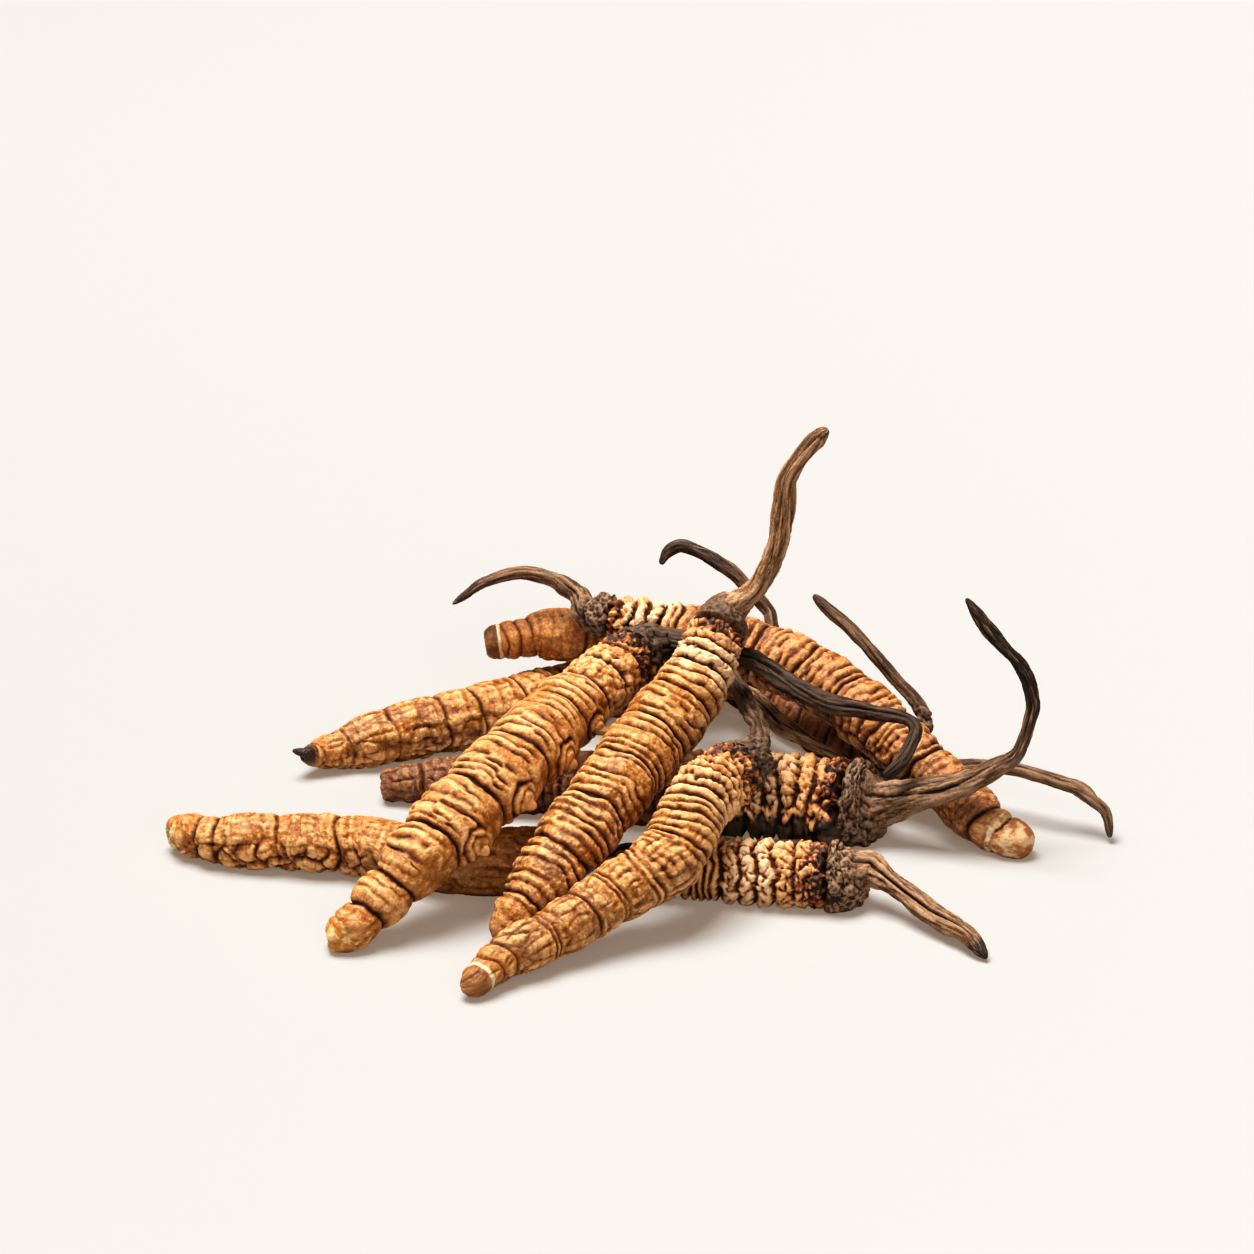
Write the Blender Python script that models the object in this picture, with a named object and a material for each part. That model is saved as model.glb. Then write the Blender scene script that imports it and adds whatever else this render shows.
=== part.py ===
"""A loose heap of dried cordyceps: ten larvae and the eleven stalks that grow from their heads.

Each larva and each stalk is one closed solid. Sizes are written in millimetres and turned into metres.
"""

import math

import bmesh
import bpy
import numpy as np
from mathutils import Vector
from mathutils import noise

MM = 0.001

# The heap's middle on the floor, taken away from every route so that the origin is under the heap.
HEAP_MIDDLE_X = 1.21
HEAP_MIDDLE_Y = 6.90

# Sides of the tubes: a curve's bevel has 4 sides and two more for each step of its resolution.
LARVA_BEVEL_STEPS = 4
STALK_BEVEL_STEPS = 3

# A larva's body segments, and the narrow rings behind its head.
BODY_SEGMENT_LENGTH = 4.3
RING_LENGTH = 2.1
BODY_GROOVE = 0.86
RING_GROOVE = 0.89
RINGED_SHARE = 0.24
SEGMENT_RISES_BY = 0.30
SEGMENT_FALLS_FROM = 0.72
RING_CREST = 0.5

# How round the blunt ends are, as shares of the radius there.
TAIL_END = 0.55
TAIL_CAP_LENGTH = 0.7
HEAD_END = 0.86

# The joint between a head and its stalk, and the shallow lumps.
JOINT_GAP = 0.3
JOINT_FACE = 0.3
LUMP_SIZE = 2.6
LARVA_LUMP = 0.09
COLLAR_LUMP = 0.12
COLLAR_LENGTH = 3.0

# Whatever comes this close to the floor rests flat on it.
FLAT_BELOW = 0.3

# Spacing of the stations along a stalk.
STALK_STATION = 3.4
COLLAR_CREST = 1.8

# Routes run from tail to head: x, y, z and the body's radius there.
LARVA_ROUTES = {
    "leaning": [
        (-27, -18.6, 1.15, 1.21), (-25.9, -18.4, 1.3, 1.55), (-24.4, -17.9, 2, 1.94),
        (-21.8, -15.8, 4, 2.33), (-19.8, -14.2, 5.6, 2.79), (-17.8, -12.2, 7.2, 3.25),
        (-10.9, -3.6, 11.1, 3.59), (-4.6, 7.4, 12.9, 3.18), (0.7, 15, 14.4, 2.75),
    ],
    "tall": [
        (-11.5, -18.1, 0.6, 1.1), (-9.7, -15.9, 2.6, 2.11), (-6.8, -12.6, 5.3, 2.98),
        (-2.5, -6.6, 8.6, 3.36), (2.1, 0.9, 11.7, 3.5), (6.1, 6.6, 14.7, 3.26),
        (8.6, 11.9, 18.3, 2.55),
    ],
    "bent": [
        (-14.3, -27.7, 0.85, 0.87), (-13.3, -27.5, 1.4, 1.29), (-10.8, -24.3, 2.2, 1.88),
        (-6.1, -20.6, 3.05, 2.27), (-0.6, -16.5, 4.9, 2.76), (3.9, -13.4, 6.7, 3.12),
        (6.7, -7.9, 9.8, 3.17), (10.4, -3, 10.8, 2.76),
    ],
    "broad": [
        (-23.8, 13.5, 1.3, 1.41), (-21.4, 13.4, 1.65, 1.71), (-18.9, 13.3, 1.95, 2.08),
        (-12.2, 12.2, 2.35, 2.77), (-5.4, 11.1, 2.75, 3.15), (5, 9, 3.15, 3.61),
        (15.4, 7.2, 3.55, 3.79), (20.7, 5.5, 3.45, 3.95),
    ],
    "low_left": [
        (-43.1, 1.3, 2.1, 1.26), (-41.6, 1.5, 2.1, 1.63), (-39.4, 0.1, 2.15, 2.03),
        (-37, -0.8, 2.3, 2.36), (-31.7, -1.4, 2.5, 2.59), (-24.6, -2.6, 2.65, 2.78),
        (-20.9, -4.2, 2.65, 2.86), (-13.5, -5.8, 2.55, 3.03), (-8.5, -5.4, 2.45, 2.94),
        (-5.8, -5.1, 2.35, 2.48),
    ],
    "low_right": [
        (-2.2, -6.7, 0.95, 1.38), (1.3, -6.5, 2.15, 2.39), (6.7, -7.1, 2.55, 3.02),
        (12.2, -8.1, 2.55, 3.01), (18.3, -8.8, 2.55, 3.01),
    ],
    "long": [
        (38.1, 1.3, 1.15, 1.17), (36.2, 1.3, 1.5, 1.78), (34.2, 2.5, 2.05, 2.09),
        (31.9, 5.7, 3.1, 2.44), (26.7, 11.4, 6, 2.76), (21.5, 17.3, 8.6, 3.07),
        (15.9, 22.1, 10.3, 3.1), (7.2, 26.3, 11.7, 2.82), (-1.7, 28.5, 12.7, 2.35),
    ],
    "perched": [
        (-14.4, 33, 8.05, 1.43), (-11.7, 33.2, 8.43, 1.83), (-10, 33.2, 8.66, 1.89),
        (-8.2, 33.3, 8.93, 2.34), (-2.7, 33.1, 8.9, 2.6), (3.8, 32.9, 8, 2.7), (10.7, 32.6, 7.2, 2.4),
    ],
    "rear": [
        (-32.5, 18.4, 2.95, 0.29), (-31.2, 18.5, 2.6, 0.54), (-30.6, 19.2, 2.1, 1.17),
        (-28.1, 20.9, 1.95, 1.91), (-23.9, 22.5, 2.55, 2.67), (-19.4, 24.9, 2.7, 2.82),
        (-14.5, 27.2, 2.75, 3.02), (-6.7, 32.2, 2.65, 3.11), (-0.8, 34.7, 2.45, 2.91),
        (3.8, 36.5, 2.15, 2.61),
    ],
    "buried": [
        (7.5, 42, 1.45, 1.83), (12.4, 36, 1.95, 2.41), (17.2, 28.7, 2.15, 2.57),
        (21.8, 21.8, 2.05, 2.53), (26, 15.9, 1.75, 2.21),
    ],
}

# Routes run from just outside the head to the tip.
STALK_ROUTES = {
    "leaning": [
        (2.1, 16.7, 14.8, 2.1), (3.5, 16.6, 14.89, 1.48), (4.9, 16.4, 14.93, 1.22),
        (11.4, 13.3, 14.85, 0.91), (12.9, 12.2, 14.5, 0.95), (15.8, 9.8, 13.35, 0.99),
        (18.8, 8.6, 12.3, 1.04), (21.9, 7.8, 11.96, 0.91), (23.8, 7.1, 11.82, 0.77),
        (25.6, 6.5, 11.71, 0.68), (26.8, 5.9, 11.3, 0.65), (26.9, 5.1, 10.41, 0.7),
        (25.5, 3.1, 8.55, 0.71), (23.9, 1.9, 7.74, 0.65),
    ],
    "tall": [
        (9.5, 13.6, 19.4, 2.1), (10.6, 13.9, 20.26, 1.37), (12.1, 14.2, 21.47, 1.08),
        (13.1, 14.4, 23.09, 1.06), (14.3, 14.8, 26.33, 1.01), (14.8, 15.1, 29.57, 1),
        (15.1, 15.2, 32.36, 0.87), (16.3, 15.2, 34.52, 0.87), (17.8, 15.2, 36.46, 0.86),
        (18.8, 15.1, 37.28, 0.58),
    ],
    "bent": [
        (11.7, -1.1, 11.2, 2.03), (12.4, 2, 11.4, 1.11), (12.3, 4.9, 11.42, 1),
        (11.8, 10.3, 10.75, 1), (10.7, 15.4, 10.7, 1.03), (9.8, 18.1, 10.97, 0.87),
        (8.4, 20.6, 11.15, 0.73), (7.3, 22.1, 11.48, 0.58),
    ],
    "broad": [
        (22.7, 4.8, 3.45, 3.4), (24.6, 4, 4.02, 1.75), (27.4, 3.1, 5.25, 1.52),
        (31.1, 2.2, 6.6, 1.29), (34.7, 1.9, 8.75, 0.95), (36.4, 2.1, 10.16, 0.72),
        (37.4, 2.7, 13.1, 0.65), (37.7, 3.1, 14.96, 0.67), (36.7, 3.7, 17.72, 0.66),
        (35.1, 4.1, 19.58, 0.6), (33.5, 4.4, 21.44, 0.7), (32.1, 4.8, 23.29, 0.57),
        (31.3, 5, 24.35, 0.3),
    ],
    "low_left": [
        (-4.2, -4.9, 2.25, 1.57), (-1.2, -3.9, 2.35, 0.92), (6.8, -0.5, 1.85, 0.84),
        (12.4, 0.5, 1.15, 0.75), (17.3, 1.3, 0.95, 0.56),
    ],
    "low_right": [
        (19.9, -9, 2.65, 2.6), (21.8, -9.3, 3.5, 1.26), (22.7, -9.8, 3.36, 1.13),
        (25.3, -12.4, 2.59, 0.99), (27.8, -15.5, 1.82, 0.99), (30.4, -18.5, 1.41, 0.92),
        (31.5, -20.3, 0.81, 0.69), (31.9, -21.1, 0.39, 0.36),
    ],
    "long": [
        (-3.9, 29.4, 13.2, 1.9), (-4.9, 30.7, 14.28, 1.48), (-6.3, 31.7, 14.96, 0.99),
        (-7.7, 32.5, 15.4, 0.73), (-10.7, 32.9, 15.73, 0.68), (-14, 32.6, 14.91, 0.61),
        (-16, 32.2, 13.67, 0.51), (-17.3, 31.9, 12.78, 0.25),
    ],
    "perched": [
        (12.4, 32.6, 7.2, 1.7), (14.3, 33.4, 8.35, 1), (14.4, 34.8, 10.13, 0.7),
        (13.8, 35.6, 11.06, 0.65), (10.9, 37.4, 13.63, 0.72), (8.4, 38.4, 15.27, 0.69),
        (7, 38.8, 15.81, 0.64), (5.5, 39.1, 16.18, 0.69), (4.3, 39, 15.69, 0.67),
        (3.4, 38.6, 14.38, 0.3),
    ],
    "rear": [
        (5.5, 37.1, 2.05, 1.52), (8.1, 36.4, 2.35, 1.11), (10.9, 31.3, 3.7, 0.95),
        (13.5, 26.2, 4.09, 0.92), (15.3, 22.9, 3.57, 0.98), (17, 20.8, 3.25, 0.82),
        (18.5, 18.9, 3.11, 0.73), (21.6, 15.9, 2.65, 0.63),
    ],
    "buried_outer": [
        (27, 14.6, 1.85, 1.7), (29.2, 13.3, 2.89, 1.01), (32.8, 11.6, 4.4, 0.7),
        (37.3, 9.2, 5.05, 0.72), (41, 7.2, 4.64, 0.75), (42.8, 6.5, 4.3, 0.85),
        (43.9, 5.7, 3.62, 0.76), (45.2, 4.8, 2.51, 0.58), (45.5, 3.6, 0.61, 0.24),
    ],
    "buried_upper": [
        (28, 15.7, 5.07, 1.01), (28.7, 16.6, 6.78, 0.66), (28, 17.5, 8.36, 0.6),
        (25.4, 19.5, 10.87, 0.67), (21.8, 22, 14.15, 0.67), (19.7, 23.2, 15.68, 0.59),
        (18.1, 24.2, 16.91, 0.44),
    ],
}

# The leaning larva's four feet: distance from the tail, angle down from its back, height and width.
FEET = {
    "leaning": [
        (15.8, 104, 0.9, 1.5), (22.4, 104, 1.1, 1.6),
        (29.3, 104, 1.1, 1.6), (35.6, 106, 0.8, 1.4),
    ],
    "low_left": [(17.1, 170, 0.5, 1.5)],
}

LARVA_COLOURS = {
    "leaning": (0.52, 0.29, 0.09, 1.0),
    "tall": (0.52, 0.29, 0.09, 1.0),
    "bent": (0.48, 0.27, 0.10, 1.0),
    "broad": (0.36, 0.18, 0.07, 1.0),
    "low_left": (0.50, 0.27, 0.08, 1.0),
    "low_right": (0.52, 0.31, 0.12, 1.0),
    "long": (0.42, 0.22, 0.08, 1.0),
    "perched": (0.50, 0.27, 0.09, 1.0),
    "rear": (0.48, 0.26, 0.08, 1.0),
    "buried": (0.36, 0.19, 0.08, 1.0),
}
STALK_COLOUR = (0.075, 0.048, 0.032, 1.0)


def clear_scene():
    for thing in list(bpy.data.objects):
        bpy.data.objects.remove(thing)


def new_collection(name, hidden):
    collection = bpy.data.collections.new(name)
    collection.hide_render = hidden
    bpy.context.scene.collection.children.link(collection)
    return collection


def new_material(name, colour, roughness):
    material = bpy.data.materials.new(name)
    material.use_nodes = True
    shader = material.node_tree.nodes["Principled BSDF"]
    shader.inputs["Base Color"].default_value = colour
    shader.inputs["Roughness"].default_value = roughness
    shader.inputs["Metallic"].default_value = 0.0
    return material


def smooth_route(points, per_span=24):
    """A smooth line through the route's points, as rows of x, y, z and radius, with its length so far."""
    route = np.array(points)
    route[:, 0] -= HEAP_MIDDLE_X
    route[:, 1] -= HEAP_MIDDLE_Y
    rows = []
    last = len(route) - 1
    for span in range(last):
        before = route[max(span - 1, 0)]
        start = route[span]
        end = route[span + 1]
        after = route[min(span + 2, last)]
        for step in range(per_span):
            t = step / per_span
            curve = start + 0.5 * t * (end - before)
            curve = curve + t * t * (before - 2.5 * start + 2.0 * end - 0.5 * after)
            curve = curve + t * t * t * (-0.5 * before + 1.5 * start - 1.5 * end + 0.5 * after)
            rows.append(curve)
    rows.append(route[last])
    line = np.array(rows)
    steps = np.linalg.norm(np.diff(line[:, :3], axis=0), axis=1)
    length = np.concatenate([[0.0], np.cumsum(steps)])
    return line, length


def at_distance(line, length, distances):
    return np.stack([np.interp(distances, length, line[:, axis]) for axis in range(4)], axis=1)


def larva_stations(total):
    """Distances from the tail, and the share of the radius at each: the grooves are pulled in."""
    ringed_from = total * (1.0 - RINGED_SHARE)
    stations = [(0.0, TAIL_END), (TAIL_CAP_LENGTH, 1.0)]
    segments = max(1, round((ringed_from - 2.0 * TAIL_CAP_LENGTH) / BODY_SEGMENT_LENGTH))
    pitch = (ringed_from - 2.0 * TAIL_CAP_LENGTH) / segments
    for segment in range(segments):
        groove = 2.0 * TAIL_CAP_LENGTH + segment * pitch
        stations.append((groove, BODY_GROOVE))
        stations.append((groove + SEGMENT_RISES_BY * pitch, 1.0))
        stations.append((groove + SEGMENT_FALLS_FROM * pitch, 1.0))
    rings = max(1, round((total - ringed_from) / RING_LENGTH))
    pitch = (total - ringed_from) / rings
    for ring in range(rings):
        groove = ringed_from + ring * pitch
        stations.append((groove, RING_GROOVE))
        stations.append((groove + RING_CREST * pitch, 1.0))
    stations.append((total - JOINT_FACE, (1.0 + HEAD_END) / 2.0))
    stations.append((total, HEAD_END))
    return stations


def stalk_stations(total):
    """Distances from the head: close together over the collar, then wider apart."""
    distances = [0.0, JOINT_FACE, COLLAR_CREST]
    free = total - COLLAR_LENGTH
    count = max(2, round(free / STALK_STATION))
    for step in range(count + 1):
        distances.append(COLLAR_LENGTH + free * step / count)
    return [(distance, 1.0) for distance in distances]


def tube(name, line, length, stations, bevel_steps, guides):
    """A closed mesh of a tube whose radius follows the stations, made from a curve with filled ends."""
    distances = np.array([distance for distance, share in stations])
    shares = np.array([share for distance, share in stations])
    places = at_distance(line, length, distances)
    curve = bpy.data.curves.new(name + "_guide", "CURVE")
    curve.dimensions = "3D"
    curve.bevel_depth = MM
    curve.bevel_resolution = bevel_steps
    curve.use_fill_caps = True
    spline = curve.splines.new("POLY")
    spline.points.add(len(places) - 1)
    for point, place, share in zip(spline.points, places, shares):
        point.co = (place[0] * MM, place[1] * MM, place[2] * MM, 1.0)
        point.radius = place[3] * share
    guide = bpy.data.objects.new(name + "_guide", curve)
    guide.hide_render = True
    guide.display_type = "WIRE"
    guides.objects.link(guide)
    bpy.context.view_layer.update()
    graph = bpy.context.evaluated_depsgraph_get()
    mesh = bpy.data.meshes.new_from_object(guide.evaluated_get(graph))
    mesh.name = name
    return mesh


def shape_surface(mesh, line, length, lump, lump_from, lump_to, feet):
    """Moves each vertex away from or towards the centreline, by shallow lumps and by the feet."""
    tangents = np.gradient(line[:, :3], axis=0)
    tangents /= np.linalg.norm(tangents, axis=1)[:, None]
    for vertex in mesh.vertices:
        place = np.array(vertex.co) / MM
        nearest = int(np.argmin(np.linalg.norm(line[:, :3] - place, axis=1)))
        centre = line[nearest, :3]
        along = tangents[nearest]
        out = place - centre
        out -= np.dot(out, along) * along
        radius = np.linalg.norm(out)
        if radius < 1e-6:
            continue
        out /= radius
        move = 0.0
        if lump_from <= length[nearest] <= lump_to:
            move -= lump * radius * (0.5 + 0.5 * noise.noise(Vector(place / LUMP_SIZE)))
        back = np.array((0.0, 0.0, 1.0)) - along[2] * along
        back /= np.linalg.norm(back)
        side = np.cross(along, back)
        for distance, angle, height, width in feet:
            turn = math.radians(angle)
            foot_out = math.cos(turn) * back + math.sin(turn) * side
            gap_along = length[nearest] - distance
            gap_round = radius * math.acos(max(-1.0, min(1.0, float(np.dot(foot_out, out)))))
            move += height * math.exp(-(gap_along**2 + gap_round**2) / (width * width))
        vertex.co = Vector((place + move * out) * MM)


def finish_mesh(mesh):
    """Flattens the underside on the floor, welds the ends on and makes every face a triangle."""
    for vertex in mesh.vertices:
        if vertex.co.z < FLAT_BELOW * MM:
            vertex.co.z = 0.0
    working = bmesh.new()
    working.from_mesh(mesh)
    bmesh.ops.remove_doubles(working, verts=working.verts, dist=1e-6)
    bmesh.ops.triangulate(working, faces=working.faces)
    bmesh.ops.recalc_face_normals(working, faces=working.faces)
    for face in working.faces:
        face.smooth = True
    working.to_mesh(mesh)
    working.free()


def add_piece(name, mesh, material, bundle):
    mesh.materials.clear()
    mesh.materials.append(material)
    piece = bpy.data.objects.new(name, mesh)
    bundle.objects.link(piece)
    return piece


def build_larva(key, bundle, guides):
    points = LARVA_ROUTES[key]
    line, length = smooth_route(points)
    stations = larva_stations(length[-1])
    name = "larva_" + key
    mesh = tube(name, line, length, stations, LARVA_BEVEL_STEPS, guides)
    shape_surface(mesh, line, length, LARVA_LUMP, 0.0, length[-1], FEET.get(key, []))
    finish_mesh(mesh)
    material = new_material(name, LARVA_COLOURS[key], 0.7)
    return add_piece(name, mesh, material, bundle)


def build_stalk(key, bundle, guides):
    """The stalk starts a small gap beyond the end of its larva, in the larva's own direction."""
    points = list(STALK_ROUTES[key])
    if key != "buried_upper":
        head_points = LARVA_ROUTES[key.replace("_outer", "")]
        head_line, head_length = smooth_route(head_points)
        outwards = head_line[-1] - head_line[-2]
        outwards /= np.linalg.norm(outwards[:3])
        place = np.array(head_points[-1]) + JOINT_GAP * outwards
        points.insert(0, (place[0], place[1], place[2], head_points[-1][3]))
    line, length = smooth_route(points)
    name = "stalk_" + key
    mesh = tube(name, line, length, stalk_stations(length[-1]), STALK_BEVEL_STEPS, guides)
    shape_surface(mesh, line, length, COLLAR_LUMP, 0.0, COLLAR_LENGTH, [])
    finish_mesh(mesh)
    material = new_material(name, STALK_COLOUR, 0.8)
    return add_piece(name, mesh, material, bundle)


clear_scene()
bundle = new_collection("cordyceps_bundle", False)
guides = new_collection("guides", True)
pieces = [build_larva(key, bundle, guides) for key in LARVA_ROUTES]
pieces += [build_stalk(key, bundle, guides) for key in STALK_ROUTES]

corners = np.concatenate([np.array([vertex.co for vertex in piece.data.vertices]) for piece in pieces])
low = corners.min(axis=0) / MM
high = corners.max(axis=0) / MM
print("triangles:", sum(len(piece.data.polygons) for piece in pieces))
print("low corner, mm:", np.round(low, 2), "high corner, mm:", np.round(high, 2))
print("middle off by, mm:", np.round((low + high)[:2] / 2.0, 3))
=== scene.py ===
# %% [markdown]
# # A loose heap of dried cordyceps
#
# Ten dried larvae lie across one another, and a thin dark fungus stalk grows from the head of each.
# The imported model gives their places and sizes. This lesson gives every piece its skin: folds that
# are real geometry, and colours made from nodes. First the frame is loaded.

# %% Load the frame
import math

import bpy
import numpy as np
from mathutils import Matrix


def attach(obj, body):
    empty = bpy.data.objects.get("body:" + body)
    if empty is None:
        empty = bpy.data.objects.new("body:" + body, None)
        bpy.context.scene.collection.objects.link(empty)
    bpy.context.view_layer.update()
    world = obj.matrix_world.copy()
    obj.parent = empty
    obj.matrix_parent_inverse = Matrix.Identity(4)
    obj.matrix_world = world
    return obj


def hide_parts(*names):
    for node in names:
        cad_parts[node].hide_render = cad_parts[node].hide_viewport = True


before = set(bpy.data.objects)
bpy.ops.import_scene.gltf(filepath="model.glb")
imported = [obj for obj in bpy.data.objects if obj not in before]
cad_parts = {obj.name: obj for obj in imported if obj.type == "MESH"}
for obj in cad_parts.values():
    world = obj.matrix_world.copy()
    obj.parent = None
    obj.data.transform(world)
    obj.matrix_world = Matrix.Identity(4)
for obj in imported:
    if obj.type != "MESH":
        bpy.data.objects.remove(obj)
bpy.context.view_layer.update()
MM = 0.001

# %% [markdown]
# ## Where each piece lies
#
# A larva is a soft tube that dried in a curve, so one line down its middle and a radius along that
# line say most of its shape. The lines are the same as in the CAD source: x, y, z and radius in
# millimetres, from tail to head, and for a stalk from head to tip. The heap's middle is taken away
# from each point, because the CAD model does that too.

# %% Routes of the larvae and the stalks
HEAP_MIDDLE = np.array((1.21, 6.90, 0.0, 0.0))
LARVA_ROUTES = {
    "leaning": [
        (-27, -18.6, 1.15, 1.21), (-25.9, -18.4, 1.3, 1.55), (-24.4, -17.9, 2, 1.94),
        (-21.8, -15.8, 4, 2.33), (-19.8, -14.2, 5.6, 2.79), (-17.8, -12.2, 7.2, 3.25),
        (-10.9, -3.6, 11.1, 3.59), (-4.6, 7.4, 12.9, 3.18), (0.7, 15, 14.4, 2.75),
    ],
    "tall": [
        (-11.5, -18.1, 0.6, 1.1), (-9.7, -15.9, 2.6, 2.11), (-6.8, -12.6, 5.3, 2.98),
        (-2.5, -6.6, 8.6, 3.36), (2.1, 0.9, 11.7, 3.5), (6.1, 6.6, 14.7, 3.26),
        (8.6, 11.9, 18.3, 2.55),
    ],
    "bent": [
        (-14.3, -27.7, 0.85, 0.87), (-13.3, -27.5, 1.4, 1.29), (-10.8, -24.3, 2.2, 1.88),
        (-6.1, -20.6, 3.05, 2.27), (-0.6, -16.5, 4.9, 2.76), (3.9, -13.4, 6.7, 3.12),
        (6.7, -7.9, 9.8, 3.17), (10.4, -3, 10.8, 2.76),
    ],
    "broad": [
        (-23.8, 13.5, 1.3, 1.41), (-21.4, 13.4, 1.65, 1.71), (-18.9, 13.3, 1.95, 2.08),
        (-12.2, 12.2, 2.35, 2.77), (-5.4, 11.1, 2.75, 3.15), (5, 9, 3.15, 3.61),
        (15.4, 7.2, 3.55, 3.79), (20.7, 5.5, 3.45, 3.95),
    ],
    "low_left": [
        (-43.1, 1.3, 2.1, 1.26), (-41.6, 1.5, 2.1, 1.63), (-39.4, 0.1, 2.15, 2.03),
        (-37, -0.8, 2.3, 2.36), (-31.7, -1.4, 2.5, 2.59), (-24.6, -2.6, 2.65, 2.78),
        (-20.9, -4.2, 2.65, 2.86), (-13.5, -5.8, 2.55, 3.03), (-8.5, -5.4, 2.45, 2.94),
        (-5.8, -5.1, 2.35, 2.48),
    ],
    "low_right": [
        (-2.2, -6.7, 0.95, 1.38), (1.3, -6.5, 2.15, 2.39), (6.7, -7.1, 2.55, 3.02),
        (12.2, -8.1, 2.55, 3.01), (18.3, -8.8, 2.55, 3.01),
    ],
    "long": [
        (38.1, 1.3, 1.15, 1.17), (36.2, 1.3, 1.5, 1.78), (34.2, 2.5, 2.05, 2.09),
        (31.9, 5.7, 3.1, 2.44), (26.7, 11.4, 6, 2.76), (21.5, 17.3, 8.6, 3.07),
        (15.9, 22.1, 10.3, 3.1), (7.2, 26.3, 11.7, 2.82), (-1.7, 28.5, 12.7, 2.35),
    ],
    "perched": [
        (-14.4, 33, 8.05, 1.43), (-11.7, 33.2, 8.43, 1.83), (-10, 33.2, 8.66, 1.89),
        (-8.2, 33.3, 8.93, 2.34), (-2.7, 33.1, 8.9, 2.6), (3.8, 32.9, 8, 2.7), (10.7, 32.6, 7.2, 2.4),
    ],
    "rear": [
        (-32.5, 18.4, 2.95, 0.29), (-31.2, 18.5, 2.6, 0.54), (-30.6, 19.2, 2.1, 1.17),
        (-28.1, 20.9, 1.95, 1.91), (-23.9, 22.5, 2.55, 2.67), (-19.4, 24.9, 2.7, 2.82),
        (-14.5, 27.2, 2.75, 3.02), (-6.7, 32.2, 2.65, 3.11), (-0.8, 34.7, 2.45, 2.91),
        (3.8, 36.5, 2.15, 2.61),
    ],
    "buried": [
        (7.5, 42, 1.45, 1.83), (12.4, 36, 1.95, 2.41), (17.2, 28.7, 2.15, 2.57),
        (21.8, 21.8, 2.05, 2.53), (26, 15.9, 1.75, 2.21),
    ],
}
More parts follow.
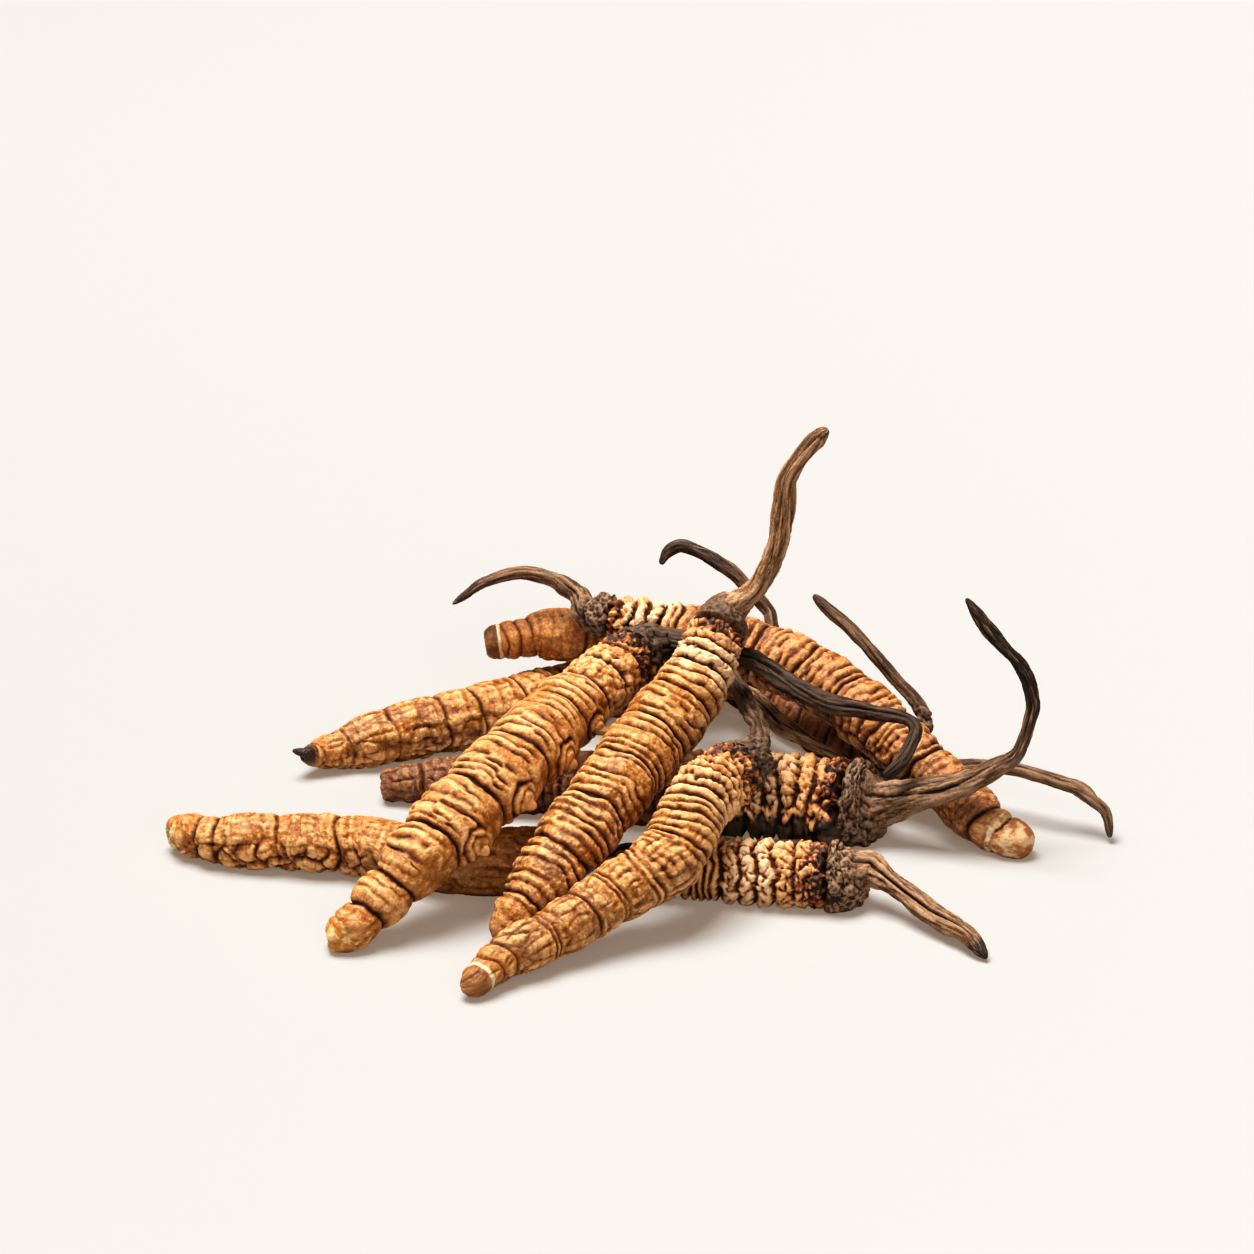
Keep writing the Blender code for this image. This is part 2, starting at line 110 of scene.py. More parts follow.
STALK_ROUTES = {
    "leaning": [
        (2.1, 16.7, 14.8, 2.1), (3.5, 16.6, 14.89, 1.48), (4.9, 16.4, 14.93, 1.22),
        (11.4, 13.3, 14.85, 0.91), (12.9, 12.2, 14.5, 0.95), (15.8, 9.8, 13.35, 0.99),
        (18.8, 8.6, 12.3, 1.04), (21.9, 7.8, 11.96, 0.91), (23.8, 7.1, 11.82, 0.77),
        (25.6, 6.5, 11.71, 0.68), (26.8, 5.9, 11.3, 0.65), (26.9, 5.1, 10.41, 0.7),
        (25.5, 3.1, 8.55, 0.71), (23.9, 1.9, 7.74, 0.65),
    ],
    "tall": [
        (9.5, 13.6, 19.4, 2.1), (10.6, 13.9, 20.26, 1.37), (12.1, 14.2, 21.47, 1.08),
        (13.1, 14.4, 23.09, 1.06), (14.3, 14.8, 26.33, 1.01), (14.8, 15.1, 29.57, 1),
        (15.1, 15.2, 32.36, 0.87), (16.3, 15.2, 34.52, 0.87), (17.8, 15.2, 36.46, 0.86),
        (18.8, 15.1, 37.28, 0.58),
    ],
    "bent": [
        (11.7, -1.1, 11.2, 2.03), (12.4, 2, 11.4, 1.11), (12.3, 4.9, 11.42, 1),
        (11.8, 10.3, 10.75, 1), (10.7, 15.4, 10.7, 1.03), (9.8, 18.1, 10.97, 0.87),
        (8.4, 20.6, 11.15, 0.73), (7.3, 22.1, 11.48, 0.58),
    ],
    "broad": [
        (22.7, 4.8, 3.45, 3.4), (24.6, 4, 4.02, 1.75), (27.4, 3.1, 5.25, 1.52),
        (31.1, 2.2, 6.6, 1.29), (34.7, 1.9, 8.75, 0.95), (36.4, 2.1, 10.16, 0.72),
        (37.4, 2.7, 13.1, 0.65), (37.7, 3.1, 14.96, 0.67), (36.7, 3.7, 17.72, 0.66),
        (35.1, 4.1, 19.58, 0.6), (33.5, 4.4, 21.44, 0.7), (32.1, 4.8, 23.29, 0.57),
        (31.3, 5, 24.35, 0.3),
    ],
    "low_left": [
        (-4.2, -4.9, 2.25, 1.57), (-1.2, -3.9, 2.35, 0.92), (6.8, -0.5, 1.85, 0.84),
        (12.4, 0.5, 1.15, 0.75), (17.3, 1.3, 0.95, 0.56),
    ],
    "low_right": [
        (19.9, -9, 2.65, 2.6), (21.8, -9.3, 3.5, 1.26), (22.7, -9.8, 3.36, 1.13),
        (25.3, -12.4, 2.59, 0.99), (27.8, -15.5, 1.82, 0.99), (30.4, -18.5, 1.41, 0.92),
        (31.5, -20.3, 0.81, 0.69), (31.9, -21.1, 0.39, 0.36),
    ],
    "long": [
        (-3.9, 29.4, 13.2, 1.9), (-4.9, 30.7, 14.28, 1.48), (-6.3, 31.7, 14.96, 0.99),
        (-7.7, 32.5, 15.4, 0.73), (-10.7, 32.9, 15.73, 0.68), (-14, 32.6, 14.91, 0.61),
        (-16, 32.2, 13.67, 0.51), (-17.3, 31.9, 12.78, 0.25),
    ],
    "perched": [
        (12.4, 32.6, 7.2, 1.7), (14.3, 33.4, 8.35, 1), (14.4, 34.8, 10.13, 0.7),
        (13.8, 35.6, 11.06, 0.65), (10.9, 37.4, 13.63, 0.72), (8.4, 38.4, 15.27, 0.69),
        (7, 38.8, 15.81, 0.64), (5.5, 39.1, 16.18, 0.69), (4.3, 39, 15.69, 0.67),
        (3.4, 38.6, 14.38, 0.3),
    ],
    "rear": [
        (5.5, 37.1, 2.05, 1.52), (8.1, 36.4, 2.35, 1.11), (10.9, 31.3, 3.7, 0.95),
        (13.5, 26.2, 4.09, 0.92), (15.3, 22.9, 3.57, 0.98), (17, 20.8, 3.25, 0.82),
        (18.5, 18.9, 3.11, 0.73), (21.6, 15.9, 2.65, 0.63),
    ],
    "buried_outer": [
        (27, 14.6, 1.85, 1.7), (29.2, 13.3, 2.89, 1.01), (32.8, 11.6, 4.4, 0.7),
        (37.3, 9.2, 5.05, 0.72), (41, 7.2, 4.64, 0.75), (42.8, 6.5, 4.3, 0.85),
        (43.9, 5.7, 3.62, 0.76), (45.2, 4.8, 2.51, 0.58), (45.5, 3.6, 0.61, 0.24),
    ],
    "buried_upper": [
        (28, 15.7, 5.07, 1.01), (28.7, 16.6, 6.78, 0.66), (28, 17.5, 8.36, 0.6),
        (25.4, 19.5, 10.87, 0.67), (21.8, 22, 14.15, 0.67), (19.7, 23.2, 15.68, 0.59),
        (18.1, 24.2, 16.91, 0.44),
    ],
}


def smooth_route(points, steps=24):
    """A smooth line through the points, as rows of x, y, z and radius, with its length so far."""
    route = np.array(points) - HEAP_MIDDLE
    last = len(route) - 1
    rows = []
    for span in range(last):
        before = route[max(span - 1, 0)]
        start = route[span]
        end = route[span + 1]
        after = route[min(span + 2, last)]
        for step in range(steps):
            t = step / steps
            curve = start + 0.5 * t * (end - before)
            curve = curve + t * t * (before - 2.5 * start + 2.0 * end - 0.5 * after)
            curve = curve + t * t * t * (-0.5 * before + 1.5 * start - 1.5 * end + 0.5 * after)
            rows.append(curve)
    rows.append(route[last])
    line = np.array(rows)
    pieces = np.linalg.norm(np.diff(line[:, :3], axis=0), axis=1)
    return line, np.concatenate([[0.0], np.cumsum(pieces)])


for key, points in LARVA_ROUTES.items():
    print("larva", key, "is", round(float(smooth_route(points)[1][-1]), 1), "mm long")

# %% [markdown]
# ## Noise that can be repeated
#
# Dried skin never repeats itself, so its folds come from noise. Two kinds are enough. Soft noise
# swells and sinks smoothly, and bends straight creases. Cells give the distance to the nearest and
# the second nearest of many scattered points, which draws pillows with creases between them. Both
# are worked out for a whole piece at once, from tables filled by one seeded generator, so each run
# gives the same heap.

# %% Soft noise and cells
generator = np.random.default_rng(26)
SHUFFLE = generator.permutation(256)
DIRECTIONS = generator.normal(size=(256, 3))
DIRECTIONS /= np.linalg.norm(DIRECTIONS, axis=1)[:, None]
SCATTER = generator.random((256, 3))
FAR = 99.0


def cell_number(cell):
    """A number from 0 to 255 for each cell of a grid, always the same for the same cell."""
    number = SHUFFLE[cell[..., 0] & 255]
    number = SHUFFLE[(number + cell[..., 1]) & 255]
    return SHUFFLE[(number + cell[..., 2]) & 255]


def soft_noise(places):
    """Smooth noise from about -1 to 1, with swellings about one unit apart."""
    cell = np.floor(places).astype(int)
    inside = places - cell
    ease = inside**3 * (inside * (inside * 6.0 - 15.0) + 10.0)
    total = np.zeros(places.shape[:-1])
    for corner in range(8):
        offset = np.array((corner & 1, corner >> 1 & 1, corner >> 2 & 1))
        slope = DIRECTIONS[cell_number(cell + offset)]
        value = ((inside - offset) * slope).sum(axis=-1)
        total += value * np.where(offset == 1, ease, 1.0 - ease).prod(axis=-1)
    return 1.6 * total


def scattered_cells(places, scatter=0.85):
    """The distances to the nearest and second nearest of points scattered one to a cell, and a
    number from 0 to 1 that is the same all over the nearest one's cell."""
    cell = np.floor(places).astype(int)
    nearest = np.full(places.shape[:-1], FAR)
    second = np.full(places.shape[:-1], FAR)
    tone = np.zeros(places.shape[:-1])
    for step in np.ndindex(3, 3, 3):
        neighbour = cell + np.array(step) - 1
        chance = SCATTER[cell_number(neighbour)]
        point = neighbour + 0.5 + scatter * (chance - 0.5)
        distance = np.sqrt(((places - point) ** 2).sum(axis=-1))
        second = np.minimum(second, np.maximum(nearest, distance))
        tone = np.where(distance < nearest, chance[..., 0], tone)
        nearest = np.minimum(nearest, distance)
    return nearest, second, tone


def rise(value, low, high):
    """0 below low, 1 above high, and a smooth rise between them."""
    share = np.clip((value - low) / (high - low), 0.0, 1.0)
    return share * share * (3.0 - 2.0 * share)


def rounded(distance, width):
    """The profile of a rounded fold: 0 in the crease, steep at first, and 1 a width away from it."""
    share = np.clip(distance / width, 0.0, 1.0)
    return 1.0 - (1.0 - share) ** 2


test = soft_noise(generator.random((2000, 3)) * 50.0)
print("soft noise runs from", round(float(test.min()), 2), "to", round(float(test.max()), 2))

# %% [markdown]
# ## A tube from a rolled-up grid
#
# Every piece starts as Blender's grid primitive: flat, with a row of points for each station along
# the line. The rows are then rolled round the line, the two edges of the grid meet in a seam, and
# the first and last row shrink to a point. A curve with a bevel would give the same tube with less
# work, but the grid keeps one row and column number for each point. The relief is worked out in
# those rows and columns, as if the skin were laid flat, and needs no search on the finished shape.


# %% Roll a grid into a tube
def frames_along(line, length, distances, roll, carried):
    """Middle, direction, back and side at each distance. The back turns by roll from straight up."""
    middle = np.stack([np.interp(distances, length, line[:, axis]) for axis in range(3)], axis=1)
    radius = np.interp(distances, length, line[:, 3])
    slope = np.gradient(line[:, :3], length, axis=0)
    along = np.stack([np.interp(distances, length, slope[:, axis]) for axis in range(3)], axis=1)
    along /= np.linalg.norm(along, axis=1)[:, None]
    up = np.tile(np.array((0.0, 0.0, 1.0)), (len(distances), 1))
    if carried:
        # A stalk may stand upright, so its back is carried along from the row before.
        for row in range(len(distances)):
            before = up[row - 1] if row else np.array((0.3, 0.2, 1.0))
            up[row] = before - np.dot(before, along[row]) * along[row]
            up[row] /= np.linalg.norm(up[row])
    back = up - (up * along).sum(axis=1)[:, None] * along
    back /= np.linalg.norm(back, axis=1)[:, None]
    side = np.cross(along, back)
    turned_back = math.cos(roll) * back + math.sin(roll) * side
    turned_side = math.cos(roll) * side - math.sin(roll) * back
    return middle, radius, along, turned_back, turned_side


def flat_grid(name, rows, columns):
    """A grid from the Add menu, and the row and column number of each of its points."""
    bpy.ops.object.select_all(action="DESELECT")
    bpy.ops.mesh.primitive_grid_add(x_subdivisions=columns, y_subdivisions=rows - 1, size=2.0)
    piece = bpy.context.active_object
    piece.name = name
    piece.data.name = name
    flat = np.zeros(len(piece.data.vertices) * 3)
    piece.data.vertices.foreach_get("co", flat)
    flat = flat.reshape(-1, 3)
    column = np.rint((flat[:, 0] + 1.0) / 2.0 * columns).astype(int)
    row = np.rint((flat[:, 1] + 1.0) / 2.0 * (rows - 1)).astype(int)
    return piece, row, column


def store(piece, name, values, row, column):
    """Keeps one number for each point, or one vector, under a name that materials can read."""
    kind = "FLOAT_VECTOR" if values.ndim == 3 else "FLOAT"
    attribute = piece.data.attributes.new(name, kind, "POINT")
    field = "vector" if values.ndim == 3 else "value"
    attribute.data.foreach_set(field, values[row, column].astype(np.float32).ravel())


def close_tube(piece, places, row, column):
    """Moves the grid's points into place, lays what is below the floor on it, and welds the seam."""
    places = places.copy()
    places[..., 2] = np.maximum(places[..., 2], 0.0)
    piece.data.vertices.foreach_set("co", (places[row, column] * MM).ravel())
    piece.data.update()
    bpy.ops.object.mode_set(mode="EDIT")
    bpy.ops.mesh.select_all(action="SELECT")
    bpy.ops.mesh.remove_doubles(threshold=1e-8)
    bpy.ops.mesh.normals_make_consistent(inside=False)
    bpy.ops.object.mode_set(mode="OBJECT")
    bpy.ops.object.shade_smooth()
    return piece


def softened(values, times):
    """The values after a blur that wraps round the tube."""
    result = values.copy()
    for _ in range(times):
        around = 0.5 * result + 0.25 * (np.roll(result, 1, axis=1) + np.roll(result, -1, axis=1))
        padded = np.concatenate([around[:1], around, around[-1:]], axis=0)
        result = 0.5 * around + 0.25 * (padded[:-2] + padded[2:])
    return result


back = frames_along(*smooth_route(LARVA_ROUTES["leaning"]), np.array([20.0]), 0.0, False)[3]
print("20 mm from its tail, the back of the leaning larva faces", back[0].round(2))

# %% [markdown]
# ## How a larva's skin folds
#
# A larva's body is a row of segments with a deep crease between each two. When it dries, the back of
# each segment gathers in narrow rings, the flanks puff up in pillows, and fine crinkles run over
# everything. Near the head the rings get narrow and bead-like. The table gives, for each larva, the
# distance of its segment creases and head rings from the tail, read off the photograph with a ruler
# laid along its line, and how strong each kind of fold is on the way from tail to head.

# %% The folds of each larva
# creases and rings are in mm from the tail. folds, pillows and furrows are pairs of a distance from
# the tail and a strength. Each foot is a distance, a turn from the back in degrees, a height and a
# width. waist is how deep the segments are pinched, and dimple how far the tail is pushed in. reach
# is how far round from the back the rings go, in degrees, and roll turns that back about the line.
# burst is how far the crust comes from the head, torn_from where the torn underside starts, and rows
# and columns are the points of the grid. lobes and rough make the lobes and the crinkles deeper.
LARVAE = {
    "leaning": dict(
        creases=[4.2, 8, 13.1, 19.2, 25.9, 33.5],
        rings=[38.2, 41.1, 43.8, 45.5],
        folds=[(0, 0.3), (7, 0.6), (11.9, 1.15), (38, 1.0)],
        pillows=[(0, 0.6), (10, 0.3), (34, 0.3), (38, 0.9), (47, 0.9)],
        furrows=[(0, 0.2), (10.9, 0.1), (47, 0.1)],
        feet=[(15.8, 112, 0.45, 1.35), (22.4, 112, 0.55, 1.4),
                 (29.3, 112, 0.55, 1.4), (35.6, 112, 0.4, 1.0)],
        waist=0.85, rough=0.5, lobes=0.55, rows=430, columns=128, roll=-8, reach=72, burst=3.0, dimple=0.5,
    ),
    "tall": dict(
        creases=[4, 9.9, 15.5, 21.1, 26.5, 31],
        rings=[34.9, 36.5, 37.8, 39.1, 40.3],
        folds=[(0, 0.5), (5.1, 1.0), (35.1, 1.0)],
        pillows=[(0, 0.5), (20.1, 0.6), (30.1, 0.9)],
        furrows=[(0, 0.2), (8.1, 0.25), (41.1, 0.1)],
        waist=0.65, lobes=0.45, rows=430, columns=128, roll=12, reach=125, burst=1.6,
    ),
    "bent": dict(
        creases=[3.1, 5, 9.4, 9.9, 14, 16.7, 17.2, 20.4, 21, 25, 27.8, 29.5],
        rings=[30.6, 31.6, 32.6, 33.5, 34.4, 35.4],
        folds=[(0, 0.1), (20, 0.25), (24, 0.9), (38, 1.0)],
        pillows=[(0, 0.1), (21, 0.15), (25, 0.9), (38, 0.6)],
        furrows=[(0, 0.6), (5, 0.85), (21, 0.85), (25, 0.3), (38, 0.4)],
        waist=0.55, lobes=0.7, rows=400, columns=124, reach=110, burst=3.2,
    ),
    "broad": dict(
        creases=[4.2, 10.1, 16.1, 22.1, 28.1, 32.6],
        rings=[35.8, 37.4, 39, 40.7, 42.3, 43.7, 44.7],
        folds=[(0, 0.2), (10.1, 0.7), (46.1, 1.0)],
        pillows=[(0, 0.5), (46.1, 1.0)],
        furrows=[(0, 0.9), (9.1, 0.4), (46.1, 0.1)],
        waist=0.6, rough=1.5, torn_from=30.0, rows=380, columns=124, reach=100, burst=2.6, dimple=1.1,
    ),
    "low_left": dict(
        creases=[3.8, 5.6, 11.4, 17.1, 23.6],
        rings=[],
        folds=[(0, 0.2), (6.1, 0.3), (23.1, 0.3), (26.1, 0.0)],
        pillows=[(0, 0.4), (6.1, 1.2), (23.1, 1.1), (26.1, 0.1), (39.1, 0.1)],
        furrows=[(0, 0.3), (22.1, 0.4), (26.1, 0.5), (39.1, 0.4)],
        waist=0.5, rows=360, columns=120, reach=70, burst=0.5, dimple=0.35,
    ),
    "low_right": dict(
        creases=[3, 6.2, 7.3, 8.1, 8.8, 9.6, 10.4],
        rings=[11.2, 12.9, 14.5, 16, 17.6, 19.2],
        folds=[(0, 0.8), (21, 1.0)],
        pillows=[(0, 0.6), (21, 1.0)],
        furrows=[(0, 0.1), (21, 0.1)],
        waist=0.6, rows=280, columns=128, reach=150, burst=3.0,
    ),
    "long": dict(
        creases=[3, 4.9, 10.1, 14, 19.3, 24.8, 30.3, 35.8, 40.8, 44.2],
        rings=[46.1, 47.6, 49.1, 50.6],
        folds=[(0, 0.2), (9.8, 0.3), (13.8, 0.9), (50.8, 1.0)],
        pillows=[(0, 0.3), (9.8, 0.3), (13.8, 1.0), (50.8, 0.9)],
        furrows=[(0, 0.3), (9.8, 0.4), (50.8, 0.1)],
        waist=0.6, rows=420, columns=108, reach=85, burst=1.0, dimple=0.3,
    ),
    "perched": dict(
        creases=[2, 3.5, 4.8, 9.9, 14.9, 19.9],
        rings=[],
        folds=[(0, 0.05), (10.9, 0.4), (25.9, 0.6)],
        pillows=[(0, 0.1), (10.9, 0.6)],
        furrows=[(0, 0.25), (25.9, 0.2)],
        waist=0.3, rows=230, columns=84, reach=110, burst=0.5, dimple=0.9,
    ),
    "rear": dict(
        creases=[2.5, 6, 10.5, 16, 19.6, 24.5, 29.3, 34.3],
        rings=[36.8, 38.5, 40.1],
        folds=[(0, 0.1), (18.3, 0.3), (40.3, 0.8)],
        pillows=[(0, 0.3), (10.3, 0.5), (40.3, 0.9)],
        furrows=[(0, 0.9), (8.3, 0.8), (18.3, 0.5), (40.3, 0.3)],
        waist=0.35, rows=340, columns=104, reach=60, burst=0.5,
    ),
    "buried": dict(
        creases=[3.5, 8.5, 13.5, 18.5, 23.5],
        rings=[27, 29],
        folds=[(0, 0.5), (33, 0.9)],
        pillows=[(0, 0.7), (33, 0.8)],
        furrows=[(0, 0.3), (33, 0.2)],
        waist=0.8, rows=220, columns=72, reach=100, burst=1.0,
    ),
}
PLAIN_LARVA = dict(feet=[], lobes=1.0, rough=1.0, dimple=0.0, roll=0)
RING_WIDTH = 1.12
WIDE_PLATE = 1.7
# The relief cuts in more than it adds, so the whole skin is lifted by this much.
PLUMP = 0.27


def fold_lines(creases, end, numbers):
    """The creases of the narrow rings: each segment is shared out unevenly, with one wide plate."""
    lines = []
    edges = [0.0] + creases + [end]
    for start, stop in zip(edges[:-1], edges[1:]):
        count = max(1, round((stop - start) / RING_WIDTH))
        shares = numbers.uniform(0.75, 1.25, count)
        if count > 3:
            shares[numbers.integers(1, count - 1)] *= WIDE_PLATE
        places = start + (stop - start) * np.cumsum(shares) / shares.sum()
        lines += [start] + list(places[:-1])
    return np.array(lines)


def distance_to(lines, places):
    """How far each place is from the nearest of the lines across the body."""
    gaps = np.full(places.shape, FAR)
    for line in lines:
        gaps = np.minimum(gaps, np.abs(places - line))
    return gaps


lines = fold_lines(LARVAE["leaning"]["creases"], 37.2, np.random.default_rng(1))
print("the leaning larva has", len(lines), "fold lines from tail to neck")

# %% [markdown]
# ## The relief of the skin
#
# The heights are added up in millimetres over the flat skin. Straight creases would look machined,
# so the distance along the body is first bent by soft noise. Rings cross the back only, and fade
# towards the belly, where the pillows take over. The result keeps every fold as geometry, and the
# heights also tell the material later where the bottom of a crease is and where a crest is.


# %% Helpers for the relief
def creases_between(places, size, width, scatter=0.85):
    """Rounded cells with creases between them: 0 in a crease and 1 inside a cell."""
    nearest, following, _ = scattered_cells(places / np.array(size), scatter)
    return rounded(following - nearest, width)


def laid_flat(distance, angle, radius):
    """Where each point of a tube is, as if its line were straight."""
    return np.stack([distance, radius * np.sin(angle), radius * np.cos(angle)], axis=-1)


def nudged(places, amount, size):
    """The places, each moved a little by soft noise, so that cells get crooked edges."""
    shifts = [soft_noise(places / size + shift) for shift in (1.0, 4.0, 8.0)]
    return places + amount * np.stack(shifts, axis=-1)


def flat_noise(first, second, shift=0.0):
    """Soft noise over two numbers only."""
    return soft_noise(np.stack([first, second, 0.0 * second], axis=-1) + shift)


def bump(distance, width):
    """The profile of a soft bump: 1 at no distance, and almost 0 at twice the width."""
    return np.exp(-((distance / width) ** 2))


print("a bump one width away is", round(float(bump(1.0, 1.0)), 2), "of its height")

# %% [markdown]
# ## Add up the folds
#
# Each kind of fold is a depth in mm, times a pattern, times a mask that says where it belongs. They
# are added from the large to the small: segments, rings, pillows, the lobed rings behind the head,
# the crust, the furrows and the crinkles.

# %% Heights over the skin
SEGMENT_DEPTH, SEGMENT_REACH = 0.62, 1.9
RING_DEPTH, RING_REACH = 0.35, 0.50
RIBBON_DEPTH, RIBBON_REACH = 0.55, 0.50
PILLOW_DEPTH, PILLOW_SIZE = 0.38, (2.1, 2.3, 2.3)
PUCKER_DEPTH, PUCKER_SIZE = 0.13, (1.1, 1.4, 1.4)
LOBE_DEPTH, LOBE_SIZE = 0.34, (1.5, 1.25, 1.25)
BEAD_DEPTH, BEAD_SIZE = 0.18, (0.8, 0.7, 0.7)
CRUST_DEPTH, CRUST_SIZE = 0.32, (1.0, 0.9, 0.9)
FURROW_DEPTH, FURROW_SIZE = 0.34, (4.6, 1.05, 1.05)
CRINKLE_DEPTH, CRINKLE_SIZE = 0.055, (0.62, 1.1, 1.1)


def skin_relief(spec, distance, angle, radius, total, seed):
    """Height in mm at each row and column of the skin."""
    numbers = np.random.default_rng(seed)
    flat = laid_flat(distance, angle, radius)
    shifted = flat + 37.0 * seed

    def noise(size, shift=0.0):
        return soft_noise(shifted / size + shift)

    bent = distance + 0.50 * noise(3.4) + 0.13 * noise(1.2, 5.0)
    bent = bent + 0.05 * noise(0.5, 1.0) - 0.35 * np.sin(angle) ** 2
    folds, pillows, furrows = (
        np.interp(distance, *zip(*spec[kind])) for kind in ("folds", "pillows", "furrows")
    )
    ringed_from = spec["rings"][0] if spec["rings"] else total + 5.0
    ringed = rise(distance, ringed_from - 0.8, ringed_from + 0.5)
    plain = 1.0 - ringed

    # Segments: a deep crease at each end and a swelling between them, not the same on each.
    segments = np.array(spec["creases"] + spec["rings"][:1])
    gap = distance_to(segments, bent)
    swelling = numbers.uniform(0.75, 1.2, len(segments) + 1)[np.searchsorted(segments, bent)]
    height = spec["waist"] * (SEGMENT_DEPTH * swelling * rounded(gap, SEGMENT_REACH) - 0.56)
    height -= 0.17 * bump(gap, 0.15) * np.clip(0.65 + 0.9 * noise(2.0), 0.15, 1.2)
    height += 0.13 * noise(2.3, 6.0)

    # Rings across the back, from two sets of lines, so that some of them end or join.
    reach = math.radians(spec["reach"])
    edge = np.cos(angle) + 0.3 * soft_noise(flat / 2.6 + 11.0 * seed)
    back = rise(edge, math.cos(reach + 0.3), math.cos(reach - 0.3))
    end = min(ringed_from, total)
    first = rounded(distance_to(fold_lines(spec["creases"], end, numbers), bent), RING_REACH)
    drift = bent + 0.30 * noise(2.0, 9.0)
    second = rounded(distance_to(fold_lines(spec["creases"], end, numbers), drift), RING_REACH)
    choice = rise(noise(np.array((4.0, 2.4, 2.4))), -0.10, 0.10)
    depth = np.clip(0.85 + 0.7 * noise(2.2, 3.0), 0.4, 1.3)
    rings = (first * (1.0 - choice) + second * choice - 1.0) * depth
    height += RING_DEPTH * rings * back * folds * plain

    # Pillows on the flanks and the belly, with small puckers on them.
    lap = nudged(shifted, 0.5, 1.6)
    flank = (1.0 - 0.9 * back) * pillows * plain
    height += PILLOW_DEPTH * (creases_between(lap, PILLOW_SIZE, 0.6) - 1.0) * flank
    small = (creases_between(lap + 4.0, PUCKER_SIZE, 0.7) - 1.0) * (1.0 - 0.6 * back)
    height += PUCKER_DEPTH * small * pillows * plain

    # Fat rings behind the head, each broken into pitted lobes, and a crust where the skin has burst.
    crust = rise(total - distance + 0.8 * noise(1.3), spec["burst"] + 0.6, spec["burst"] - 1.2)
    nearest, following, tone = scattered_cells(lap / np.array(LOBE_SIZE))
    if spec["rings"]:
        to_ring = distance_to(np.array(spec["rings"] + [total + 0.6]), bent + 0.16 * noise(0.9))
        ribbons = rounded(np.maximum(to_ring - 0.08, 0.0), RIBBON_REACH) - 1.0
        height += RIBBON_DEPTH * ribbons * ringed * (1.0 - 0.75 * crust)
        height += LOBE_DEPTH * spec["lobes"] * (rounded(following - nearest, 0.42) - 1.0) * ringed
        beads = creases_between(lap + 9.0, BEAD_SIZE, 0.6) - 1.0
        height += BEAD_DEPTH * spec["lobes"] * beads * ringed
        height -= 0.16 * rise(noise(0.5, 4.0), 0.30, 0.75) * ringed
        height += (0.12 * noise(0.75) + 0.07 * noise(0.36)) * ringed
    height += CRUST_DEPTH * (creases_between(lap + 5.0, CRUST_SIZE, 0.6) - 0.7) * crust
    height += (0.16 * noise(0.6) + 0.09 * noise(0.28)) * crust

    # Furrows that run along the body, where the skin has sunk between its muscles.
    long_cells = creases_between(0.5 * (shifted + lap) + 2.0, FURROW_SIZE, 0.45, 0.5) - 1.0
    height += FURROW_DEPTH * long_cells * furrows * rise(gap, 0.1, 0.9) * (0.8 + 0.8 * noise(2.4, 8.0))

    # Crinkles over everything.
    rough = spec["rough"]
    height += 0.06 * soft_noise(lap / np.array((0.55, 1.6, 1.6))) * (0.3 + 0.7 * folds)
    height += CRINKLE_DEPTH * rough * (creases_between(lap + 7.0, CRINKLE_SIZE, 0.45) - 1.0)
    height += rough * (0.028 * noise(0.42) + 0.02 * noise(0.26))
    return (height + PLUMP) * np.clip(radius / 2.0, 0.12, 1.0), flat, tone


print("depths, mm: segments", SEGMENT_DEPTH, "rings", RING_DEPTH, "pillows", PILLOW_DEPTH, "lobes", LOBE_DEPTH)

# %% [markdown]
# ## Feet and a torn underside
#
# The leaning larva shows four stumps of feet along its lower side, and the skin of the broad one has
# torn and sags under its head end. Both could be pieces pushed into the body, but then a seam
# would show, so they are added to the same heights. A foot is a soft bump inside a round crease, and
# the tear is a long bulge with a ragged edge.


# %% Heights of the feet and of the torn underside
def round_the_body(angle, radius):
    """How far round the body an angle reaches, in mm, by the shorter way."""
    return radius * np.angle(np.exp(1j * angle))


def foot_relief(feet, distance, angle, radius):
    """The stumps of the feet: a swelling inside a round crease, with a small teat in its middle."""
    height = np.zeros(distance.shape)
    for place, turn, tall, width in feet:
        beyond = distance - place
        aside = round_the_body(angle - math.radians(turn), radius)
        height += tall * bump(np.hypot(beyond, aside), 1.2 * width)
        wavy = 0.22 * flat_noise(distance / 0.9, aside / 0.9, 3.0 * place)
        edge = np.hypot(beyond + 0.15, 0.85 * aside) + wavy
        open_side = rise(beyond + 0.4 * aside, 1.3, -0.2)
        height -= 0.30 * bump(edge - 1.15 * width, 0.20) * open_side
        height -= 0.20 * bump(edge - 0.66 * width, 0.14) * (0.35 + 0.65 * open_side)
        teat = np.hypot(beyond, aside - 0.35) / 0.50
        height += 0.55 * np.sqrt(np.clip(1.0 - teat * teat, 0.0, 1.0))
    return height


def torn_belly(distance, angle, start):
    """A sagging, torn underside: its height, and 1 where it is torn, its inside painted dark as shade, or -1
    on the flaps at its edge.
    """
    turn = np.degrees(angle) + 14.0 * flat_noise(distance / 1.1, angle)
    reach = rise(distance, start, start + 2.5)
    flap = bump(turn - 92.0, 5.0) * reach * rise(flat_noise(distance / 0.8, 0.0 * angle, 3.0), -0.25, 0.2)
    torn = rise(turn, 94.0, 102.0) * rise(turn, 175.0, 160.0) * reach
    return 1.5 * bump(turn - 124.0, 28.0) * reach + 0.45 * flap, torn - flap


print("feet on the leaning larva:", len(LARVAE["leaning"]["feet"]))
